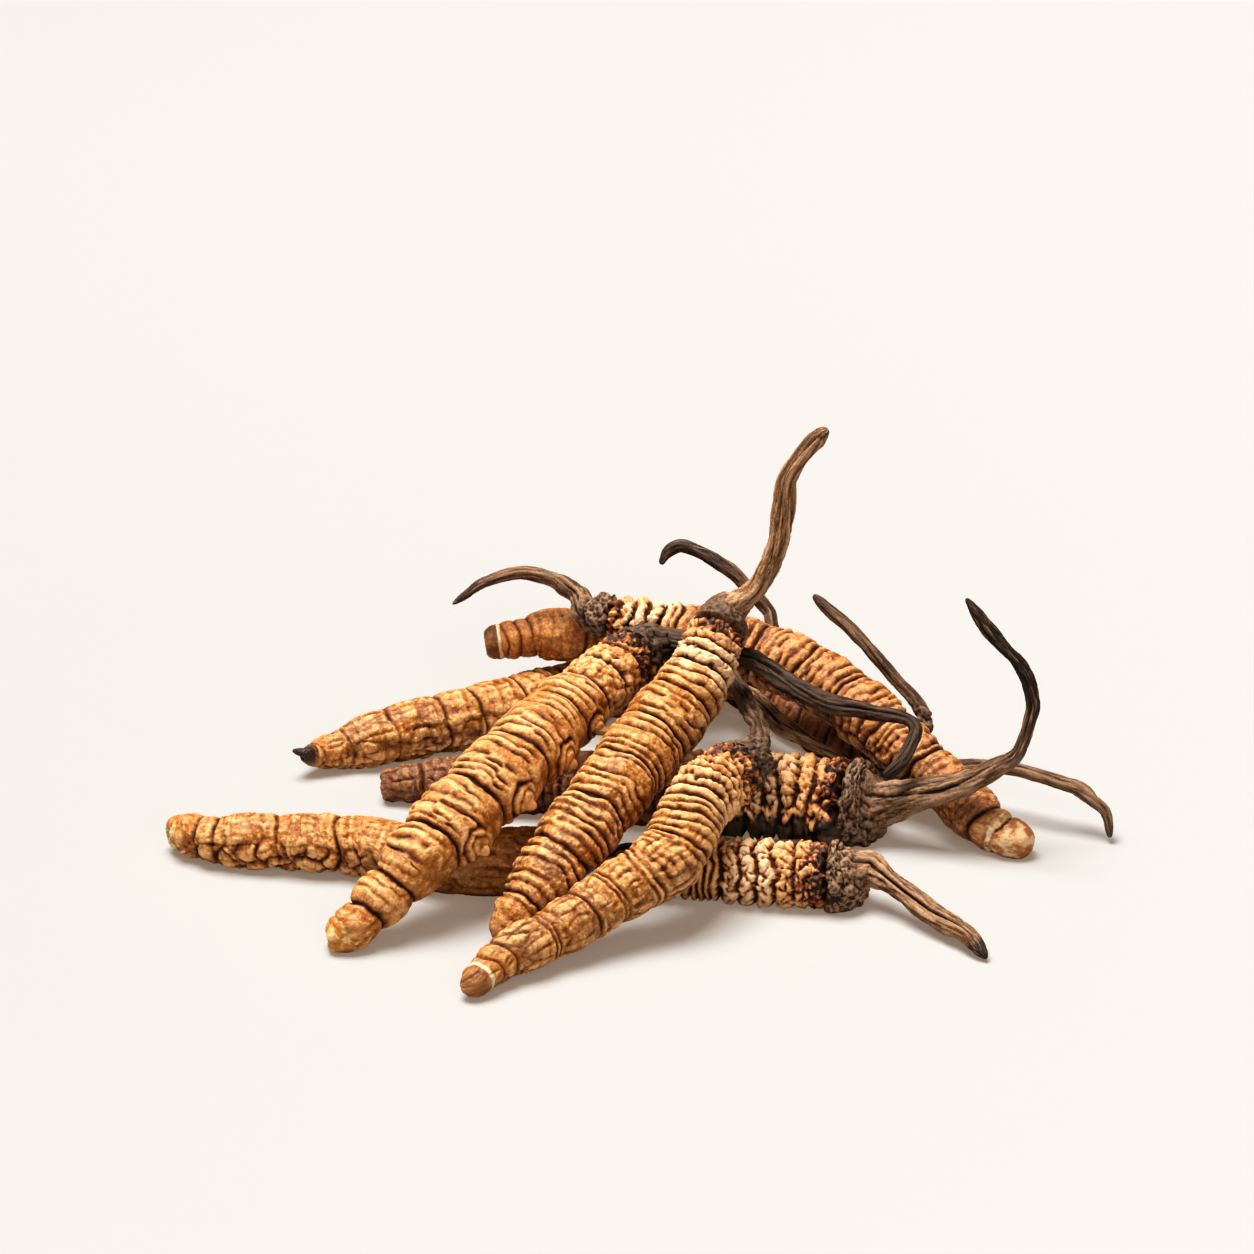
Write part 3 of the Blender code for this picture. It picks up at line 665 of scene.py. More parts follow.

# %% [markdown]
# ## Build the larvae
#
# Now the grid is rolled up along each line. The two ends are rounded off by shrinking the rows over
# the last millimetre. The height moves a point along the direction in which the smooth tube faces.
# Each point also carries what the material needs to know about it: its place on the flat skin, so
# that a pattern bends with the body, how deep it lies in a narrow crease and in the larger form, from
# which the material paints highlight and shade, how far it is from the tail and from the head, a
# number for its bead, and whether the skin is torn there, where a dark shade is painted.

# %% A larva from its route
TAIL_ROUNDING = 1.15
HEAD_ROUNDING = 0.8
CAP_ROWS = 14
# The blur to compare a height with, and the depth in mm that counts as 1, for each kind of depth.
DEPTHS = (("crease", 14, 0.16), ("hollow", 150, 0.40))


def rows_along(total, rows, dimple):
    """Distance from the tail and share of the radius for each row, closed at both ends."""
    turn = np.linspace(0.0, math.pi / 2.0, CAP_ROWS)
    tail = TAIL_ROUNDING * (1.0 - np.cos(turn)) + dimple * bump(np.sin(turn), 0.42)
    head = total - HEAD_ROUNDING * (1.0 - np.cos(turn[::-1]))
    middle = np.linspace(tail[-1], head[0], rows - 2 * CAP_ROWS + 2)[1:-1]
    share = np.concatenate([np.sin(turn) ** 0.8, np.ones(len(middle)), np.sin(turn[::-1]) ** 0.7])
    return np.concatenate([tail, middle, head]), share


def roll_up(piece_name, route, distances, share, columns, roll, carried, relief):
    """Rolls a grid along the route. relief gives the heights for distances, angles and radii."""
    line, length = route
    middle, radius, along, back, side = frames_along(line, length, distances, roll, carried)
    piece, row, column = flat_grid(piece_name, len(distances), columns)
    distance, angle = np.meshgrid(distances, np.linspace(-math.pi, math.pi, columns + 1), indexing="ij")
    height, flat, extras = relief(distance, angle, np.repeat(radius[:, None], columns + 1, axis=1))
    height = height * np.clip(share * 1.15, 0.0, 1.0)[:, None]
    height[:, -1] = height[:, 0]
    # The direction in which the smooth tube faces leans to the ends over the rounded caps.
    run = np.gradient(distances)
    climb = np.gradient(radius * share)
    lean = np.hypot(run, climb)
    outward = np.cos(angle)[..., None] * back[:, None] + np.sin(angle)[..., None] * side[:, None]
    facing = outward * (run / lean)[:, None, None] - along[:, None] * (climb / lean)[:, None, None]
    places = middle[:, None] + outward * (radius * share)[:, None, None] + facing * height[..., None]
    places[0] = places[0].mean(axis=0)
    places[-1] = places[-1].mean(axis=0)
    places[:, -1] = places[:, 0]
    open_height = height[:, :-1]
    for name, times, scale in DEPTHS:
        depth = (softened(open_height, times) - open_height) / scale
        depth = np.concatenate([depth, depth[:, :1]], axis=1)
        store(piece, name, np.clip(depth, -1.5, 1.5), row, column)
    for name, values in {"skin_place": flat, **extras}.items():
        store(piece, name, values, row, column)
    return close_tube(piece, places, row, column)


def build_larva(key, seed):
    spec = {**PLAIN_LARVA, **LARVAE[key]}
    route = smooth_route(LARVA_ROUTES[key])
    total = float(route[1][-1])
    distances, share = rows_along(total, spec["rows"], spec["dimple"])

    def relief(distance, angle, radius):
        height, flat, tone = skin_relief(spec, distance, angle, radius, total, seed)
        height += foot_relief(spec["feet"], distance, angle, radius)
        torn = np.zeros(distance.shape)
        if "torn_from" in spec:
            sag, torn = torn_belly(distance, angle, spec["torn_from"])
            height += sag
        carried = {"from_tail": distance, "from_head": total - distance, "tone": tone, "torn": torn}
        return height, flat, carried

    name = "larva_" + key + "_skin"
    return roll_up(name, route, distances, share, spec["columns"], math.radians(spec["roll"]), False, relief)


larvae = {key: build_larva(key, seed) for seed, key in enumerate(LARVAE, start=1)}
print("larvae:", len(larvae), "faces:", sum(len(piece.data.polygons) for piece in larvae.values()))

# %% [markdown]
# ## The stalks
#
# A stalk is the fungus itself: a tough stem with furrows along it, that swells into a scurfy collar
# where it bursts out of the larva's head. It is rolled from a grid in the same way. Its furrows are
# cells that are stretched along the stem, and most stems have one deep split. The collar is covered
# in round cells like a dry crust, and its radii stand in the table as its knob, in steps along the
# stem.

# %% The table of the stalks
# tan is how far the stem is rubbed to tan, split a place in degrees and a depth, and tip how dark the
# tip is and from how far. knob holds the radii of the collar, in steps of KNOB_STEP from its start.
# crust and lumps make the collar rougher, crust_tan is its own tan, and thinnest the least radius.
PLAIN_STALK = dict(crust=1.0, lumps=1.0, thinnest=0.48, tip=(0.4, 2.6))
STALKS = {
    "leaning": dict(rows=230, columns=44, tan=0.05, split=(35, 0.35), crust=0.5,
                    knob=[2.75, 2.65, 2.2, 1.5, 1.25]),
    "tall": dict(rows=200, columns=56, tan=1.0, split=(108, 0.40), crust=0.2, lumps=0.5, crust_tan=0.1,
                 tip=(0.3, 5.0), knob=[2.65, 2.6, 2.2, 1.5, 1.15]),
    "bent": dict(rows=170, columns=52, tan=0.20, split=(80, 0.30), knob=[2.75, 2.55, 2.0, 1.4, 1.1]),
    "broad": dict(rows=260, columns=60, tan=0.55, split=(70, 0.30), tip=(0.92, 22.0),
                  knob=[4.1, 4.35, 4.0, 2.1, 1.8]),
    "low_left": dict(rows=60, columns=20, tan=0.20, split=(0, 0.0), knob=[1.8, 1.5, 1.1, 0.9, 0.8]),
    "low_right": dict(rows=180, columns=60, tan=0.75, split=(50, 0.50), tip=(0.95, 2.6),
                      knob=[3.3, 3.5, 2.95, 1.6, 1.25]),
    "long": dict(rows=150, columns=40, tan=0.55, split=(-60, 0.25), tip=(0.7, 6.0), thinnest=0.25,
                 knob=[2.4, 2.2, 1.75, 1.3, 0.95]),
    "perched": dict(rows=150, columns=32, tan=0.40, split=(90, 0.20), tip=(0.75, 12.0),
                    knob=[2.3, 2.0, 1.5, 1.0, 0.8]),
    "rear": dict(rows=150, columns=36, tan=0.95, split=(40, 0.30), knob=[2.4, 2.0, 1.6, 1.2, 1.0]),
    "buried_outer": dict(rows=150, columns=36, tan=0.50, split=(60, 0.20), knob=[2.1, 1.8, 1.4, 1.0, 0.8]),
    "buried_upper": dict(rows=130, columns=34, tan=0.30, split=(90, 0.20), knob=[1.05, 1.0, 0.9, 0.75, 0.67]),
}
KNOB_STEP = 1.25
KNOB_END = 3.4
STALK_CAP_ROWS = 8
START_ROUNDING = 0.5
TIP_ROUNDING = 1.6
# In mm: the gap that the CAD model leaves at the head, and how far the collar is led back from there.
STALK_GAP = 0.3
COLLAR_OVERLAP = 0.5

print("stalks in the table:", len(STALKS))

# %% [markdown]
# ## Roll the stalks
#
# The CAD stalk begins a small gap away from the head. Here it is led back into the head, so that the
# collar hides that gap. The furrows are worked out on an angle that turns slowly along the stem, so
# that they twist as dried fibres do, and the grid's rows lie closer together near the collar.


# %% Build the stalks
def stalk_route(key):
    """The CAD route, led back a little way over the head, so that no gap shows."""
    points = list(STALK_ROUTES[key])
    if key != "buried_upper":
        head_points = LARVA_ROUTES[key.replace("_outer", "")]
        head_line = smooth_route(head_points)[0]
        outwards = head_line[-1] - head_line[-2]
        outwards /= np.linalg.norm(outwards[:3])
        start = np.array(head_points[-1]) + (STALK_GAP - COLLAR_OVERLAP) * outwards
        points.insert(0, (start[0], start[1], start[2], head_points[-1][3] + 0.1))
    return smooth_route(points)


def stalk_relief(spec, distance, angle, radius, total, seed):
    """Height in mm over a stalk, its place laid flat, and what the material needs."""
    flat = laid_flat(distance, angle, radius)
    shifted = flat + 53.0 * seed
    collar = 1.0 - rise(distance + 0.5 * soft_noise(shifted / 1.5), KNOB_END - 0.8, KNOB_END + 0.8)
    stem = 1.0 - collar
    turned = angle + 0.07 * distance + 0.25 * np.sin(0.4 * distance + seed)
    twisted = laid_flat(distance, turned, radius) + 29.0 * seed
    height = 0.12 * radius * np.cos(2.0 * turned) * stem
    height += 0.30 * (creases_between(twisted, (10.0, 0.95, 0.95), 0.55) - 0.75) * stem
    height += 0.13 * (creases_between(twisted + 3.0, (3.5, 0.42, 0.42), 0.6) - 0.7) * stem
    height += 0.12 * soft_noise(shifted / np.array((2.6, 1.6, 1.6)))
    place, deep = spec["split"]
    beside = round_the_body(angle - math.radians(place) + 0.25 * np.sin(0.5 * distance), radius)
    height -= deep * bump(beside, 0.20) * stem * rise(total - distance, 1.0, 2.5)
    lap = nudged(shifted, 0.4, 1.2)
    lumps = creases_between(lap, (1.5, 1.35, 1.35), 0.6) - 0.75
    scurf = creases_between(lap + 6.0, (0.75, 0.6, 0.6), 0.5) - 0.7
    height += 0.50 * spec["lumps"] * lumps * collar
    height += 0.13 * spec["crust"] * scurf * collar
    height += 0.04 * soft_noise(shifted / 0.3)
    height *= np.clip(radius / 1.1, 0.35, 1.0)
    return height, flat, {"from_head": distance, "from_tip": total - distance, "collar": collar}


def build_stalk(key, seed):
    spec = {**PLAIN_STALK, **STALKS[key]}
    line, length = stalk_route(key)
    total = float(length[-1])
    turn = np.linspace(0.0, math.pi / 2.0, STALK_CAP_ROWS)
    start = START_ROUNDING * (1.0 - np.cos(turn))
    end = total - TIP_ROUNDING * (1.0 - np.cos(turn[::-1]))
    # The rows lie closer together near the collar, which has the finest relief.
    spread = np.linspace(0.0, 1.0, spec["rows"] - 2 * STALK_CAP_ROWS + 2)[1:-1] ** 1.35
    distances = np.concatenate([start, start[-1] + (end[0] - start[-1]) * spread, end])
    share = np.concatenate([np.sin(turn) ** 0.6, np.ones(len(spread)), np.sin(turn[::-1]) ** 0.75])

    knob_places = KNOB_STEP * np.arange(len(spec["knob"]))
    blend = rise(length, knob_places[-1], knob_places[-1] + 2.0)
    line[:, 3] = np.interp(length, knob_places, spec["knob"]) * (1.0 - blend) + line[:, 3] * blend
    line[:, 3] = np.maximum(line[:, 3], spec["thinnest"])

    def relief(distance, angle, radius):
        return stalk_relief(spec, distance, angle, radius, total, seed)

    name = "stalk_" + key + "_stem"
    return roll_up(name, (line, length), distances, share, spec["columns"], 0.0, True, relief)


stalks = {key: build_stalk(key, seed) for seed, key in enumerate(STALKS, start=1)}
print("stalks:", len(stalks), "faces:", sum(len(piece.data.polygons) for piece in stalks.values()))

# %% [markdown]
# ## Short words for nodes
#
# Every finish below is made of the same few nodes: noise, a smooth range, a mix of two colours and
# some sums. They could be placed by hand in the Shader Editor. Here a small class adds one node with
# its inputs and gives back the socket that holds the result, so that a line reads like a recipe.


# %% Node helpers
def paint(red, green, blue):
    """A colour as a paint chart gives it, from 0 to 255, turned into the linear light of the shader."""
    linear = []
    for value in (red, green, blue):
        share = value / 255.0
        linear.append(share / 12.92 if share <= 0.04045 else ((share + 0.055) / 1.055) ** 2.4)
    return (*linear, 1.0)


def feed(tree, socket, given):
    """Feeds a socket from another socket, or sets it to a plain number or colour."""
    if isinstance(given, bpy.types.NodeSocket):
        tree.links.new(given, socket)
    else:
        socket.default_value = given


class Nodes:
    """Adds nodes to one tree. An input may be a socket or a plain value."""

    def __init__(self, tree):
        self.tree = tree

    def add(self, kind, inputs=None, **settings):
        node = self.tree.nodes.new("ShaderNode" + kind)
        for name, value in settings.items():
            setattr(node, name, value)
        for name, given in (inputs or {}).items():
            feed(self.tree, node.inputs[name], given)
        return node

    def attribute(self, name, output="Fac"):
        return self.add("Attribute", attribute_name=name).outputs[output]

    def noise(self, place, scale, detail, rough=0.55):
        inputs = {"Vector": place, "Scale": scale, "Detail": detail, "Roughness": rough}
        return self.add("TexNoise", inputs).outputs["Fac"]

    def pebbles(self, place, scale):
        """The distance to the nearest of many scattered points: a fine leather grain."""
        inputs = {"Vector": place, "Scale": scale, "Smoothness": 0.3}
        return self.add("TexVoronoi", inputs, feature="SMOOTH_F1").outputs["Distance"]

    def stretched(self, place, stretch):
        return self.add("Mapping", {"Vector": place, "Scale": stretch}).outputs["Vector"]

    def ramp(self, value, low, high, to_low=0.0, to_high=1.0):
        inputs = {"Value": value, "From Min": low, "From Max": high, "To Min": to_low, "To Max": to_high}
        return self.add("MapRange", inputs, interpolation_type="SMOOTHSTEP").outputs["Result"]

    def mix(self, share, below, above, way="MIX"):
        # The mix node has sockets for each kind of data. 6 and 7 are its colours, and 2 is the result.
        node = self.add("Mix", data_type="RGBA", blend_type=way)
        for number, given in ((0, share), (6, below), (7, above)):
            feed(self.tree, node.inputs[number], given)
        return node.outputs[2]

    def maths(self, operation, first, second=0.0):
        return self.add("Math", {0: first, 1: second}, operation=operation).outputs[0]

    def times(self, first, second):
        return self.maths("MULTIPLY", first, second)

    def plus(self, first, second):
        return self.maths("ADD", first, second)

    def minus(self, first, second):
        return self.maths("SUBTRACT", first, second)


def new_group(name, inputs, outputs):
    """A node group with named sockets: itself, its nodes, what it is given and where results go."""
    group = bpy.data.node_groups.new(name, "ShaderNodeTree")
    for label, kind in inputs.items():
        group.interface.new_socket(label, in_out="INPUT", socket_type="NodeSocket" + kind)
    for label, kind in outputs.items():
        group.interface.new_socket(label, in_out="OUTPUT", socket_type="NodeSocket" + kind)
    given = group.nodes.new("NodeGroupInput").outputs
    return group, Nodes(group), given, group.nodes.new("NodeGroupOutput").inputs


def new_material(name):
    """A fresh material: itself, its nodes, and the inputs of its shader."""
    material = bpy.data.materials.new(name)
    material.use_nodes = True
    return material, Nodes(material.node_tree), material.node_tree.nodes["Principled BSDF"].inputs


print("the ochre of the skin in linear light:", [round(share, 3) for share in paint(171, 107, 29)])

# %% [markdown]
# ## Colours for a dry skin
#
# The skin is ochre and dull. Its crests are painted a pale straw colour as a highlight, and its
# creases a brown painted shade that goes near black in the deepest ones, so the heights that were
# stored above choose between the colours. The mottling under that is noise on the flat skin's own
# places. A painted picture could do the same for one larva only, so this is one node group, because
# the larvae differ only in their tints.

# %% The skin's colour group
SHADE = paint(116, 55, 10)
STAIN = paint(118, 76, 46)


def skin_colour_group():
    sockets = {"Skin Place": "Vector", "Crease": "Float", "Hollow": "Float"}
    sockets |= {"Body": "Color", "Pale Mottle And Highlight": "Color", "Crease Shade": "Color", "Stained": "Float"}
    group, nodes, given, result = new_group("dry_skin_colour", sockets, {"Color": "Color", "Depth": "Float"})
    place = given["Skin Place"]
    grain = nodes.noise(place, 4.2, 3.0, 0.7)
    mottle = nodes.ramp(nodes.noise(place, 0.42, 3.0), 0.38, 0.66)
    body = nodes.mix(0.35, given["Body"], nodes.mix(mottle, given["Body"], given["Pale Mottle And Highlight"]))
    stain = nodes.ramp(nodes.noise(place, 0.23, 4.0, 0.6), 0.48, 0.60)
    body = nodes.mix(nodes.times(stain, given["Stained"]), body, STAIN)
    # How deep a point lies, with the grain and the pebbles breaking the edges of each colour.
    sunk = nodes.plus(nodes.times(given["Crease"], 0.6), nodes.times(given["Hollow"], 0.5))
    sunk = nodes.plus(sunk, nodes.times(nodes.minus(grain, 0.5), 0.45))
    sunk = nodes.plus(sunk, nodes.times(nodes.minus(nodes.pebbles(place, 3.4), 0.45), 0.22))
    # Painted highlight: the raised crests are lightened towards the pale crest colour.
    body = nodes.mix(nodes.ramp(sunk, 0.02, -0.55, 0.0, 0.9), body, given["Pale Mottle And Highlight"])
    speckle = nodes.ramp(grain, 0.66, 0.34, 0.84, 1.12)
    grey = nodes.add("CombineColor", dict.fromkeys(("Red", "Green", "Blue"), speckle))
    body = nodes.mix(1.0, body, grey.outputs["Color"], "MULTIPLY")
    # Painted shade: sunken places are darkened towards the shade colour.
    body = nodes.mix(nodes.ramp(sunk, -0.02, 0.48, 0.0, 0.85), body, SHADE)
    depth = nodes.ramp(sunk, 0.38, 0.95)
    # Painted shade: the deepest creases darken further, to a near-black brown.
    body = nodes.mix(nodes.times(depth, 0.85), body, given["Crease Shade"])
    feed(group, result["Color"], body)
    feed(group, result["Depth"], depth)
    return group


skin_colour = skin_colour_group()
print("group", skin_colour.name, "has", len(skin_colour.nodes), "nodes")

# %% [markdown]
# ## A grain too fine for the mesh
#
# Close up, the skin has a dry grain and fine lines across the body, a few hundredths of a millimetre
# deep. The mesh would need millions of faces for them, so they are a height for the Bump node. The
# stems use the same group without the lines.


# %% The fine surface group
def fine_surface_group():
    sockets = {"Skin Place": "Vector", "Lines": "Float"}
    group, nodes, given, result = new_group("fine_surface", sockets, {"Height": "Float"})
    place = given["Skin Place"]
    lines = nodes.noise(nodes.stretched(place, (3.2, 0.8, 0.8)), 1.0, 3.0, 0.6)
    height = nodes.plus(nodes.times(lines, given["Lines"]), nodes.noise(place, 3.2, 4.0, 0.7))
    height = nodes.plus(height, nodes.times(nodes.pebbles(place, 3.4), -0.55))
    feed(group, result["Height"], height)
    return group


def finish_surface(nodes, shader, place, colour, roughness, shine, lines, strength, depth):
    """Gives the shader its colour, roughness and shine, and bumps that are depth mm deep."""
    fine = nodes.add("Group", node_tree=fine_surface)
    feed(nodes.tree, fine.inputs["Skin Place"], place)
    feed(nodes.tree, fine.inputs["Lines"], lines)
    inputs = {"Strength": strength, "Distance": depth * MM, "Height": fine.outputs["Height"]}
    feed(nodes.tree, shader["Normal"], nodes.add("Bump", inputs).outputs["Normal"])
    feed(nodes.tree, shader["Base Color"], colour)
    feed(nodes.tree, shader["Roughness"], roughness)
    feed(nodes.tree, shader["Specular IOR Level"], shine)


fine_surface = fine_surface_group()
print("group", fine_surface.name, "has", len(fine_surface.nodes), "nodes")

# %% [markdown]
# ## The skin materials
#
# Each larva gets its own material with its own tints. Near the head the rings are cream, laid mostly on
# their crests, so that the cream is partly a painted highlight, and where the fungus broke out the skin
# is burnt orange and black. Those patches follow the distance from the head, and noise breaks their
# edge, so that no straight border shows. One larva has a small dark horn at its tail, one is torn
# underneath, with the inside of the tear painted dark as shade, and five have a waxy cap on the tail.

# %% Tints of each larva
# Lengths are in mm: cream_from, burnt and amber from the head, and tail and horn from the tail.
# The crest colour is the painted highlight on the crests, and the darkest colour is the painted shade in the
# deepest creases.
PLAIN_TINT = dict(
    body=paint(171, 107, 29), crest=paint(234, 182, 125), crease_shade=paint(34, 11, 2),
    cap=(paint(186, 120, 46), paint(238, 208, 142)), ring=(0.40, 0.55), cream=0.0, cream_from=5.0,
)
TINTS = {
    "leaning": dict(cream=0.10, cream_from=8.5, burnt=2.2, stained=0.10, tail=1.9, wax=0.8),
    "tall": dict(cream=0.80, cream_from=7.5, burnt=0.9, stained=0.60),
    "bent": dict(
        cream=0.30, cream_from=9.5, burnt=2.4, stained=0.55, tail=2.0, wax=0.6, ring=(0.2, 0.3),
        cap=(paint(120, 78, 44), paint(178, 124, 74)), crease_shade=paint(74, 38, 14),
    ),
    "broad": dict(
        cream=0.65, cream_from=10.0, burnt=1.4, amber=9.0, stained=0.65,
        body=paint(112, 70, 38), crest=paint(172, 122, 80), crease_shade=paint(44, 20, 8),
    ),
    "low_left": dict(burnt=0.5, stained=0.25, tail=1.6, wax=0.9),
    "low_right": dict(cream=0.9, cream_from=10.0, burnt=1.7, amber=6.0, stained=0.20, crease_shade=paint(78, 34, 8)),
    "long": dict(
        cream=0.90, cream_from=7.0, burnt=0.4, stained=0.55, tail=3.6, wax=0.8,
        body=paint(166, 102, 52), crest=paint(218, 162, 104), cap=(paint(172, 106, 46), paint(236, 202, 158)),
    ),
    "perched": dict(
        burnt=0.4, stained=0.25, tail=1.7, wax=0.9, ring=(0.1, 0.2),
        body=paint(172, 104, 44), crest=paint(222, 162, 94), cap=(paint(104, 62, 30), paint(150, 98, 56)),
    ),
    "rear": dict(cream=0.1, burnt=0.4, stained=0.50, horn=2.6),
    "buried": dict(burnt=1.0, stained=0.9, body=paint(120, 72, 40), crest=paint(170, 114, 68)),
}
print("larvae with a waxy cap on the tail:", [key for key in TINTS if "tail" in TINTS[key]])

# %% [markdown]
# ## One material for each larva
#
# The colours go on in layers, from the skin through cream, amber, rust and black to the last orange
# specks, each through its own mask. That is their order on the real thing too: the fungus breaks out
# of the head, so what it has burnt lies over the cream.

# %% The material of a larva
CREAM = paint(242, 206, 166)
AMBER = paint(206, 138, 58)
RUST = paint(122, 54, 18)
CHAR = paint(40, 25, 18)
SPARK = paint(204, 128, 58)
TORN_SHADE = paint(36, 18, 10)
FLAP = paint(214, 158, 104)
HORN = paint(44, 31, 25)
CAP_CREASE_SHADE = paint(92, 50, 16)
CAP_RING = paint(240, 218, 178)


def waxy_tail(nodes, tint, skin, place, depth, ragged):
    """The tail end is pale and waxy, with a thin white ring round it on some."""
    tail = nodes.plus(nodes.attribute("from_tail"), nodes.times(ragged, 0.18))
    waxy = nodes.mix(nodes.ramp(nodes.noise(place, 1.1, 3.0), 0.42, 0.60), *tint["cap"])
    # Painted shade: the deep creases of the waxy cap are darkened.
    waxy = nodes.mix(depth, waxy, CAP_CREASE_SHADE)
    capped = nodes.ramp(tail, tint["tail"] + 0.25, tint["tail"] - 0.15, 0.0, tint["wax"])
    skin = nodes.mix(capped, skin, waxy)
    ring = nodes.ramp(nodes.maths("ABSOLUTE", nodes.minus(tail, tint["tail"])), 0.26, 0.08, 0.0, 0.85)
    ring = nodes.times(ring, nodes.ramp(nodes.noise(place, 0.8, 2.0), *tint["ring"]))
    return nodes.mix(ring, skin, CAP_RING)


def skin_material(key):
    tint = {**PLAIN_TINT, **TINTS[key]}
    material, nodes, shader = new_material("skin_" + key)
    place = nodes.attribute("skin_place", "Vector")
    crease, hollow = nodes.attribute("crease"), nodes.attribute("hollow")
    colour = nodes.add("Group", node_tree=skin_colour)
    inputs = {"Skin Place": place, "Crease": crease, "Hollow": hollow, "Stained": tint["stained"]}
    inputs |= {"Body": tint["body"], "Pale Mottle And Highlight": tint["crest"], "Crease Shade": tint["crease_shade"]}
    for name, given in inputs.items():
        feed(nodes.tree, colour.inputs[name], given)
    skin, depth = colour.outputs["Color"], colour.outputs["Depth"]

    # Each bead takes its own turn from ochre through orange to black.
    ragged = nodes.times(nodes.minus(nodes.noise(place, 0.9, 4.0, 0.65), 0.5), 3.5)
    by_bead = nodes.times(nodes.minus(nodes.attribute("tone"), 0.5), 2.2)
    head = nodes.plus(nodes.attribute("from_head"), nodes.plus(ragged, by_bead))
    kept = nodes.minus(1.0, depth)
    # The cream is the rings' own pale colour near the head, laid mostly on the crests, so that it is also a
    # painted highlight.
    cream = nodes.ramp(head, tint["cream_from"], tint["cream_from"] - 2.5, 0.0, tint["cream"])
    crest = nodes.plus(crease, nodes.times(hollow, 0.6))
    cream = nodes.times(nodes.times(cream, kept), nodes.ramp(crest, 0.35, -0.35, 0.12, 1.0))
    skin = nodes.mix(cream, skin, CREAM)
    burnt = tint["burnt"]
    amber = nodes.ramp(head, tint.get("amber", burnt + 2.6), burnt + 0.9, 0.0, 0.6)
    skin = nodes.mix(nodes.times(amber, kept), skin, AMBER)
    rust = nodes.ramp(nodes.plus(head, nodes.times(crease, -0.9)), burnt + 1.1, burnt + 0.2)
    skin = nodes.mix(nodes.times(rust, 0.9), skin, RUST)
    char = nodes.ramp(nodes.plus(head, nodes.times(crease, -1.2)), burnt + 0.1, burnt - 0.6)
    skin = nodes.mix(nodes.times(char, 0.93), skin, CHAR)
    sparks = nodes.ramp(nodes.noise(place, 1.7, 3.0, 0.6), 0.53, 0.62)
    sparks = nodes.times(sparks, nodes.ramp(head, burnt + 0.8, burnt - 1.2, 0.0, 0.7))
    skin = nodes.mix(sparks, skin, SPARK)

    torn = nodes.attribute("torn")
    # Painted shade: the torn inside is darkened almost to black, standing for the shadow under the head end.
    skin = nodes.mix(nodes.ramp(torn, 0.1, 0.8, 0.0, 0.9), skin, TORN_SHADE)
    skin = nodes.mix(nodes.ramp(torn, -0.2, -0.7, 0.0, 0.9), skin, FLAP)
    if "horn" in tint:
        horn = nodes.ramp(nodes.attribute("from_tail"), tint["horn"], tint["horn"] - 1.1, 0.0, 0.95)
        skin = nodes.mix(horn, skin, HORN)
    if "tail" in tint:
        skin = waxy_tail(nodes, tint, skin, place, depth, ragged)
    roughness = nodes.ramp(depth, 0.0, 1.0, 0.50, 0.85)
    finish_surface(nodes, shader, place, skin, roughness, shine=0.55, lines=1.0, strength=0.9, depth=0.13)
    return material


for key, piece in larvae.items():
    piece.data.materials.clear()
    piece.data.materials.append(skin_material(key))
print("skin materials:", len(larvae))

# %% [markdown]
# ## The stalks' material
#
# The stems are dark grey-brown with a matt, slightly furry grain. Their furrows get a painted shade
# that is almost black, and the ridges between them are lighter, partly rubbed to tan and partly a
# painted highlight, more on some stems than on others. The collar is a little paler and greyer than
# the stem, as if dusted. Each colour is a pair, for a stem with no tan and for the tannest one, and
# the stem's own tan mixes the two.

# %% Stem materials
STEM_DARK = (paint(46, 33, 27), paint(122, 84, 54))
STEM_PALE = (paint(84, 64, 52), paint(184, 142, 106))
STEM_RUBBED_AND_HIGHLIGHT = (paint(108, 84, 66), paint(214, 178, 142))
COLLAR_CRUST = (paint(112, 88, 70), paint(178, 144, 114))
COLLAR_PIT = paint(74, 54, 42)
STEM_FIBRE = paint(44, 31, 26)
STEM_SPECK = paint(34, 25, 22)
STEM_FURROW_SHADE = paint(30, 19, 14)
STEM_TIP = paint(38, 29, 25)


